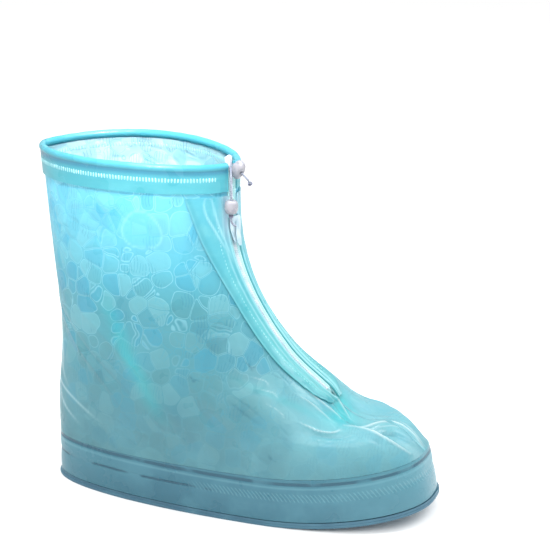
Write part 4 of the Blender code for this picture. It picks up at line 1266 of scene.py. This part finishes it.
def make_stitches(name, out, inward, size, look):
    """A row of short upright bars round the hem."""
    level = level_at(STITCH_HEIGHT)
    start = column_reach(level, 0, -1) - (3 if inward else 9) * MM
    end = column_reach(level, 0, 1) + 3 * MM
    spans = np.concatenate([
        np.arange(-half_length(level, -1) + 2 * MM, start, STITCH_PITCH),
        np.arange(end, half_length(level, 1) - 2 * MM, STITCH_PITCH),
    ])
    points, along, upward, outward = skin_frame(level, spans)
    width, tall, thick = size
    sides = 8
    profile = ((-1.0, 0.35), (-0.82, 0.85), (0.0, 1.0), (0.82, 0.85), (1.0, 0.35))
    all_points, faces = [], []
    for index, (point, a, u, o) in enumerate(zip(points, along, upward, outward)):
        lean = 0.10 * math.sin(index * 12.9898)
        grow = 1 + 0.12 * math.sin(index * 4.1)
        first = len(all_points)
        sign = -1 if inward else 1
        for h, w in profile:
            center = point + o * out + u * h * tall / 2 * grow + a * lean * h * width
            all_points.extend(ring_round(center, a * width / 2 * w, o * sign * thick * w, circle(sides)))
        faces += loft_faces(len(profile), sides, start=first)
    add_piece(name, all_points, faces, [look], "hem_vinyl", smooth=60)


def make_placket(name, node, side, looks):
    top = HEM_LEVEL - 3 * CLEARANCE / HEM_STRIP
    levels = np.linspace(SLOT_END_LEVEL + 0.12, top, 150)
    share = np.linspace(0, 1, 30)
    reaches = []
    for level in levels:
        row = zip_middle(level) + side * (front_edge(level) + placket_edges(level)[-1] * share)
        reaches.append(row[::-1] if side < 0 else row)
    reaches = np.array(reaches)
    edge = np.abs(reaches - zip_middle(levels)[:, None]) - front_edge(levels)[:, None]
    width = np.array([placket_edges(level)[-1] for level in levels])[:, None]
    inset = width - edge
    base = PLACKET_GAP + PLACKET_SHEET
    height = np.full(reaches.shape, base)
    height += 0.55 * MM * bell(edge, 1.4, 0.9)
    height += 0.45 * MM * bell(edge, 6.4, 0.9)
    height -= 0.25 * MM * bell(edge, 4.0, 1.2)
    height -= 0.35 * MM * bell(inset, 0, 1.0)
    height += 0.15 * MM * np.sin(levels * 21)[:, None] * np.exp(-((edge - width / 2) / (4 * MM)) ** 2)
    if side < 0:
        height += line_field(levels, reaches, PLACKET_LINES)
    follow = line_field(levels, reaches, CREASES)
    # Painted highlights along the zip edge, the ridge beside it, the outer edge and the loop fold
    painted_highlight = 0.95 * bell(edge, 1.3, 0.8) + 0.55 * bell(edge, 5.6, 0.9)
    painted_highlight = np.maximum(painted_highlight, 0.25 * bell(inset, 0.6, 0.5))
    # Painted shade in the hollow inside the outer edge and in the groove between the zip-side ridges
    hollow_shade = bell(inset, 2.6, 2.2) + 0.4 * bell(edge, 3.4, 1.0)
    if side < 0:
        loop = [(line, 0.7, 1.0, knots) for line, _, _, knots in PLACKET_LINES[:2]]
        loop = line_field(levels, reaches, loop, sharp=True)
        painted_highlight = np.maximum(painted_highlight, loop)
    pale = smooth_step(levels, 5.75, 6.35)[:, None] * bell(edge, 0, 6.0)
    pale = pale * (1.0 if side < 0 else 0.6)
    fields = {"crest_highlight": painted_highlight, "deep": np.clip(hollow_shade, 0, 1), "pale": pale}
    sheet_piece(name, levels, reaches, height + follow, PLACKET_GAP + follow, looks, "clear_vinyl", [node],
                fields=fields)


def make_placket_stitches(name, side, look):
    """Fine dashes along a placket."""
    first, last = climb(DASH_FIRST_LEVEL), climb(DASH_LAST_LEVEL)
    ups = np.linspace(first, last, int((last - first) / DASH_PITCH))
    levels = np.interp(ups, CLIMB, CLIMB_LEVELS)
    all_points, faces = [], []
    sides = 6
    for level in levels:
        reach = float(zip_middle(level) + side * (front_edge(level) + DASH_INSET))
        point, along, upward, outward = frame_at(level, reach)
        point = point + outward * (PLACKET_GAP + PLACKET_SHEET - 0.10 * MM)
        point = point + outward * line_field([level], np.array([[reach]]), CREASES)[0, 0]
        first_index = len(all_points)
        for h, w in ((-1, 0.4), (-0.6, 1.0), (0.6, 1.0), (1, 0.4)):
            center = point + upward * h * DASH_LENGTH / 2
            radius = DASH_THICK / 2 * w
            all_points.extend(ring_round(center, along * radius, outward * radius, circle(sides)))
        faces += loft_faces(4, sides, start=first_index)
    add_piece(name, all_points, faces, [look], "clear_vinyl", smooth=60)


def make_tape(look):
    levels = np.linspace(SLOT_END_LEVEL + 0.12, PANEL_TOP_LEVEL, 130)
    share = np.linspace(-1, 1, 49)
    reaches = []
    for level in levels:
        middle = zip_middle(level)
        half = column_reach(level, 1, 1) - middle
        reaches.append(middle + half * share)
    reaches = np.array(reaches)
    away = np.abs(reaches - zip_middle(levels)[:, None]) / MM
    inside = np.clip((front_edge(levels)[:, None] / MM - 0.35 - away) / 0.3, 0, 1)
    rise = inside * np.clip((away - 1.9) / 0.3, 0, 1) * (1.5 + 1.1 * np.exp(-((away - 3.4) / 0.8) ** 2)) * MM
    sheet_piece("zip_tape_woven", levels, reaches, -SHEET - CLEARANCE + rise, -SHEET - CLEARANCE - TAPE,
                [look, look], "zip_tape", ["zip_tape"])


def make_tape_end(look):
    low = column_reach(PANEL_TOP_LEVEL, 0, -1) + 2 * CLEARANCE
    high = column_reach(PANEL_TOP_LEVEL, 0, 1) - 2 * CLEARANCE
    columns, rows = 24, 22
    points, _, upward, outward = skin_frame(PANEL_TOP_LEVEL, np.linspace(low, high, columns))
    rise = 2 * TUNNEL_RADIUS + TAPE_END_RISE
    share_across = np.linspace(-1, 1, columns)
    outer, inner = [], []
    for share in np.linspace(0, 1, rows):
        up = CLEARANCE + (rise - CLEARANCE) * share
        up = up - 1.6 * MM * share ** 3 * share_across ** 2
        curl = 0.5 * MM * share * np.sin(share_across * 4.0 + 3 * share) - 0.4 * MM * share ** 2
        base = points + upward * np.reshape(up, (-1, 1)) - outward * (SHEET + CLEARANCE - curl[:, None])
        outer.append(base)
        inner.append(base - outward * TAPE * (0.9 - 0.3 * share))
    count = rows * columns
    all_points = np.concatenate([np.array(outer).reshape(-1, 3), np.array(inner).reshape(-1, 3)])
    faces = list(grid_faces(rows, columns))
    faces += list(grid_faces(rows, columns, start=count, flip=True))
    border = list(range(columns)) + [i * columns + columns - 1 for i in range(1, rows)]
    border += [(rows - 1) * columns + j for j in range(columns - 2, -1, -1)]
    border += [i * columns for i in range(rows - 2, -1, -1)]
    faces += [(b, a, count + a, count + b) for a, b in zip(border, border[1:])]
    uv = np.meshgrid(np.linspace(0, high - low, columns), np.linspace(0, rise, rows))
    uv = np.stack(uv, axis=-1).reshape(-1, 2)
    add_piece("tape_end_woven", all_points, faces, [look], "zip_tape", ["tape_end"],
              uvs=np.concatenate([uv, uv]), smooth=50)


def make_coil(look):
    """Two interlocked rows of loops, as short bars that meet at the middle."""
    first, last = climb(SLOT_OPEN_LEVEL - 0.1), climb(PANEL_TOP_LEVEL)
    ups = np.arange(first, last, COIL_PITCH / 2)
    levels = np.interp(ups, CLIMB, CLIMB_LEVELS)
    all_points, faces = [], []
    sides = 7
    for index, level in enumerate(levels):
        side = 1 if index % 2 else -1
        point, along, upward, outward = frame_at(level, zip_middle(level))
        start = len(all_points)
        for across, rise, thick in COIL_LOOP:
            center = point + along * side * across * MM + outward * (rise - 0.15) * MM
            center = center + upward * side * 0.16 * MM * across
            all_points.extend(ring_round(center, upward * thick * MM, outward * thick * MM, circle(sides)))
        faces += loft_faces(len(COIL_LOOP), sides, start=start)
    add_piece("zip_coil_loops", all_points, faces, [look], "zip_coil", ["zip_coil"], smooth=60)


def make_coil_rail(look):
    """The sewn cord under the loops."""
    levels = np.linspace(SLOT_OPEN_LEVEL - 0.1, PANEL_TOP_LEVEL, 130)
    rings = []
    for level in levels:
        point, along, _, outward = frame_at(level, zip_middle(level))
        center = point - outward * RAIL_DEPTH
        rings.append(ring_round(center, along * RAIL_WIDTH / 2, outward * RAIL_THICK / 2, circle(10)))
    add_piece("zip_coil_core", rings, loft_faces(len(rings), 10), [look], "zip_coil", smooth=60)


def make_slider(look):
    middle_level = level_at(HEIGHT - SLIDER_DROP)
    middle, _, upward, _ = frame_at(middle_level, zip_middle(middle_level))
    sides = 32
    angle = circle(sides)
    all_points, faces = [], []

    def lay(shares, low, high, half_of, power):
        start = len(all_points)
        for share in shares:
            level = level_at((middle + upward * SLIDER_LENGTH * (share - 0.5))[2])
            point, along, _, outward = frame_at(level, zip_middle(level))
            half = half_of(share)
            from_end = min(share - shares[0], shares[-1] - share) / (shares[-1] - shares[0])
            end = min(1.0, 8 * from_end + 0.35) ** 0.5
            center = (low + high) / 2
            tall = (high - low) / 2 * end
            c = np.sign(np.cos(angle)) * np.abs(np.cos(angle)) ** power
            s = np.sign(np.sin(angle)) * np.abs(np.sin(angle)) ** power
            ring = point + along * (c * half * end ** 0.3)[:, None] + outward * (center + s * tall)[:, None]
            all_points.extend(ring)
        faces.extend(loft_faces(len(shares), sides, start=start))

    def body(share):
        return SLIDER_WIDTH / 2 * (0.50 + 0.50 * math.sin(min(share / 0.75, 1.0) * math.pi / 2))

    def pull(share):
        return (1.7 + 1.1 * math.sin(min(max((0.55 - share) / 0.67, 0), 1) * math.pi)) * MM

    lay(np.linspace(0, 1, 26), 2.0 * MM, 3.6 * MM, body, 0.45)
    lay(np.linspace(0.16, 0.86, 16), 1.3 * MM, 2.2 * MM, lambda share: 1.5 * MM, 0.6)
    lay(np.linspace(0.40, 0.82, 14), 3.4 * MM, 4.9 * MM, lambda share: 1.3 * MM, 0.6)
    lay(np.linspace(-0.12, 0.70, 22), 4.2 * MM, 5.0 * MM, pull, 0.5)
    add_piece("zip_slider_body", all_points, faces, [look], "zip_slider", ["zip_slider"], smooth=50)


def make_band(look, inner_look):
    low = -1 + (SOLE_PLATE + CLEARANCE) / WALL_TOP
    high = -CLEARANCE / WALL_TOP
    levels = np.linspace(low, high, 27)
    share = np.linspace(-1, 1, 421)[:-1]
    reaches = []
    for level in levels:
        reaches.append(np.where(share < 0, half_length(level, -1), half_length(level, 1)) * share)
    reaches = np.array(reaches)
    below = (high - levels)[:, None] * WALL_TOP
    height = 0.35 * MM * np.sin(np.clip(below / (13 * MM), 0, 1) * math.pi)
    height = height + 0.25 * MM * np.sin(np.clip((below - 14.5 * MM) / (15 * MM), 0, 1) * math.pi)
    height = height - 0.5 * MM * bell(below, 0.6, 1.0)
    height = height - 0.35 * MM * bell(below, 13.6, 0.8)
    height = height + 0.22 * MM * np.sin(reaches * 46 + 2 * np.sin(reaches * 17)) * np.sin(below * 120)
    height = np.minimum(height, 0.6 * MM)
    sheet_piece("sidewall_band_moulded", levels, reaches, height, -SIDE_WALL, [look, inner_look],
                "side_wall_vinyl", ["sidewall_band"], closed=True)


def make_outsole(look):
    count = 360
    share = np.linspace(-1, 1, count + 1)[:-1]
    reaches = np.where(share < 0, half_length(-1.0, -1), half_length(-1.0, 1)) * share
    points, _, _, outward = skin_frame(-1.0, reaches)
    level_out = unit(outward * np.array([1, 1, 0]))
    middle = np.array([(0.5 - ORIGIN_SHARE) * LENGTH, 0, 0])
    insets = np.linspace(0.96, 0.02, 34)
    profile = [(FLANGE, inset, 0.0) for inset in insets]
    profile += [(FLANGE - 0.5 * MM, 0, 0.0), (FLANGE, 0, 0.5 * MM), (FLANGE + 0.15 * MM, 0, 1.0 * MM)]
    profile += [(FLANGE, 0, 1.6 * MM), (FLANGE - 0.6 * MM, 0, FLANGE_HEIGHT)]
    profile += [(0.3 * MM, 0, FLANGE_HEIGHT + 0.1 * MM), (0, 0, FLANGE_HEIGHT + CLEARANCE)]
    profile += [(0, 0, SOLE_PLATE)]
    profile += [(0, inset, SOLE_PLATE) for inset in (0.03, 0.2, 0.4, 0.6, 0.8, 0.96)]
    loops = []
    slim = 0.62 - 0.40 * smooth_step(points[:, 0], -0.06, 0.13)
    for out, inward, height in profile:
        spot = (points + level_out * (slim * out)[:, None]) * (1 - inward) + middle * inward
        along = (spot[:, 0] + ORIGIN_SHARE * LENGTH) / LENGTH
        rise = TOE_SPRING * np.maximum(0, (along - SPRING_START) / (1 - SPRING_START)) ** 2
        spot[:, 2] = height + rise
        if height == 0.0 and 0 < inward < 0.94:
            slanted = spot[:, 0] * 1000 + 0.55 * np.abs(spot[:, 1] * 1000)
            chevron = np.abs((slanted / GROOVE_PITCH) % 1 - 0.5) * 2
            groove = np.clip((0.42 - chevron) / 0.12, 0, 1)
            rim = np.clip((inward - 0.10) / 0.05, 0, 1)
            spot[:, 2] += GROOVE_DEPTH * groove * rim
        loops.append(spot)
    loops = np.array(loops)
    faces = list(grid_faces(len(loops), count, closed=True))
    first_hub, last_hub = len(loops) * count, len(loops) * count + 1
    hubs = [middle, middle + np.array([0, 0, SOLE_PLATE])]
    last = (len(loops) - 1) * count
    for j in range(count):
        k = (j + 1) % count
        faces.append((k, j, first_hub))
        faces.append((last + j, last + k, last_hub))
    all_points = np.concatenate([loops.reshape(-1, 3), hubs])
    uv = all_points[:, :2]
    add_piece("outsole_moulded", all_points, faces, [look], "sole_vinyl", ["outsole"], uvs=uv, smooth=40)


def build():
    place_camera()
    cord_look = corded("cord_yarn", srgb(102, 108, 128), srgb(156, 164, 176))
    knot_look = corded("knot_yarn", srgb(92, 96, 120), srgb(140, 144, 164))
    pearl = moulded("bead_pearl", srgb(138, 142, 152), srgb(164, 162, 170))
    for end in ("near", "far"):
        make_cord_end(end, cord_look)
    beads = {end: make_bead(name, end, *sizes, pearl) for name, end, *sizes in BEADS}
    knots = {end: make_knot(name, end, *sizes, knot_look) for name, end, *sizes in KNOTS}
    light_room()
    lay_floor()

    outer_look = upper_vinyl("vinyl_outside")
    inner_look = upper_vinyl("vinyl_inside", inside=True)
    # the deep colour is the painted shade under the hem's tube
    hem_look = plain_vinyl("hem_vinyl", srgb(86, 184, 198), srgb(118, 206, 214), light_through=0.40,
                           deep=srgb(64, 140, 170))
    placket_look = placket_vinyl("placket_vinyl")
    weld_look = plain_vinyl("weld_vinyl", srgb(106, 176, 188), srgb(146, 208, 216), light_through=0.3)
    stitch_look = moulded("stitch_thread", srgb(148, 214, 222), srgb(178, 230, 235), (0.4, 0.6), 0.2)
    coil_look = moulded("coil_nylon", srgb(190, 214, 224), srgb(224, 230, 238), (0.3, 0.5), 0.1)
    slider_look = moulded("slider_plastic", srgb(162, 194, 208), srgb(194, 214, 224), (0.3, 0.5), 0.15)
    tape_look = woven("tape_weave", srgb(170, 226, 230), srgb(204, 242, 243))
    tape_end_look = woven("tape_end_weave", srgb(204, 210, 226), srgb(238, 238, 248))
    band_look = band_vinyl("band_vinyl")
    band_inside = plain_vinyl("band_inside_vinyl", srgb(80, 136, 152), srgb(110, 170, 184), light_through=0.1)
    sole_look = sole_vinyl("sole_vinyl")

    make_outsole(sole_look)
    make_band(band_look, band_inside)
    make_upper("upper_outer_sheet", "upper_outer", -1, [outer_look, inner_look])
    make_upper("upper_inner_sheet", "upper_inner", 1, [outer_look, inner_look])
    make_hem(hem_look)
    for row in HEM_STITCHES:
        make_stitches(*row, stitch_look)
    make_placket("placket_outer_strip", "placket_outer", -1, [placket_look, inner_look])
    make_placket("placket_inner_strip", "placket_inner", 1, [placket_look, inner_look])
    make_placket_stitches("placket_dashes_outer", -1, stitch_look)
    make_placket_stitches("placket_dashes_inner", 1, stitch_look)
    make_tape(tape_look)
    make_tape_end(tape_end_look)
    make_coil(coil_look)
    make_coil_rail(coil_look)
    make_slider(slider_look)
    make_drawcord(cord_look)
    toe_levels = np.linspace(0.02, SLOT_END_LEVEL + 0.05, 70)
    make_weld("toe_weld", toe_levels, lambda level: 0.0, 0.9 * MM, 0.30 * MM, weld_look)
    back_levels = np.linspace(0.02, HEM_LEVEL - 0.03, 120)
    make_weld("back_weld", back_levels, lambda level: half_length(level, 1), 2.2 * MM, 0.45 * MM, weld_look)


build()
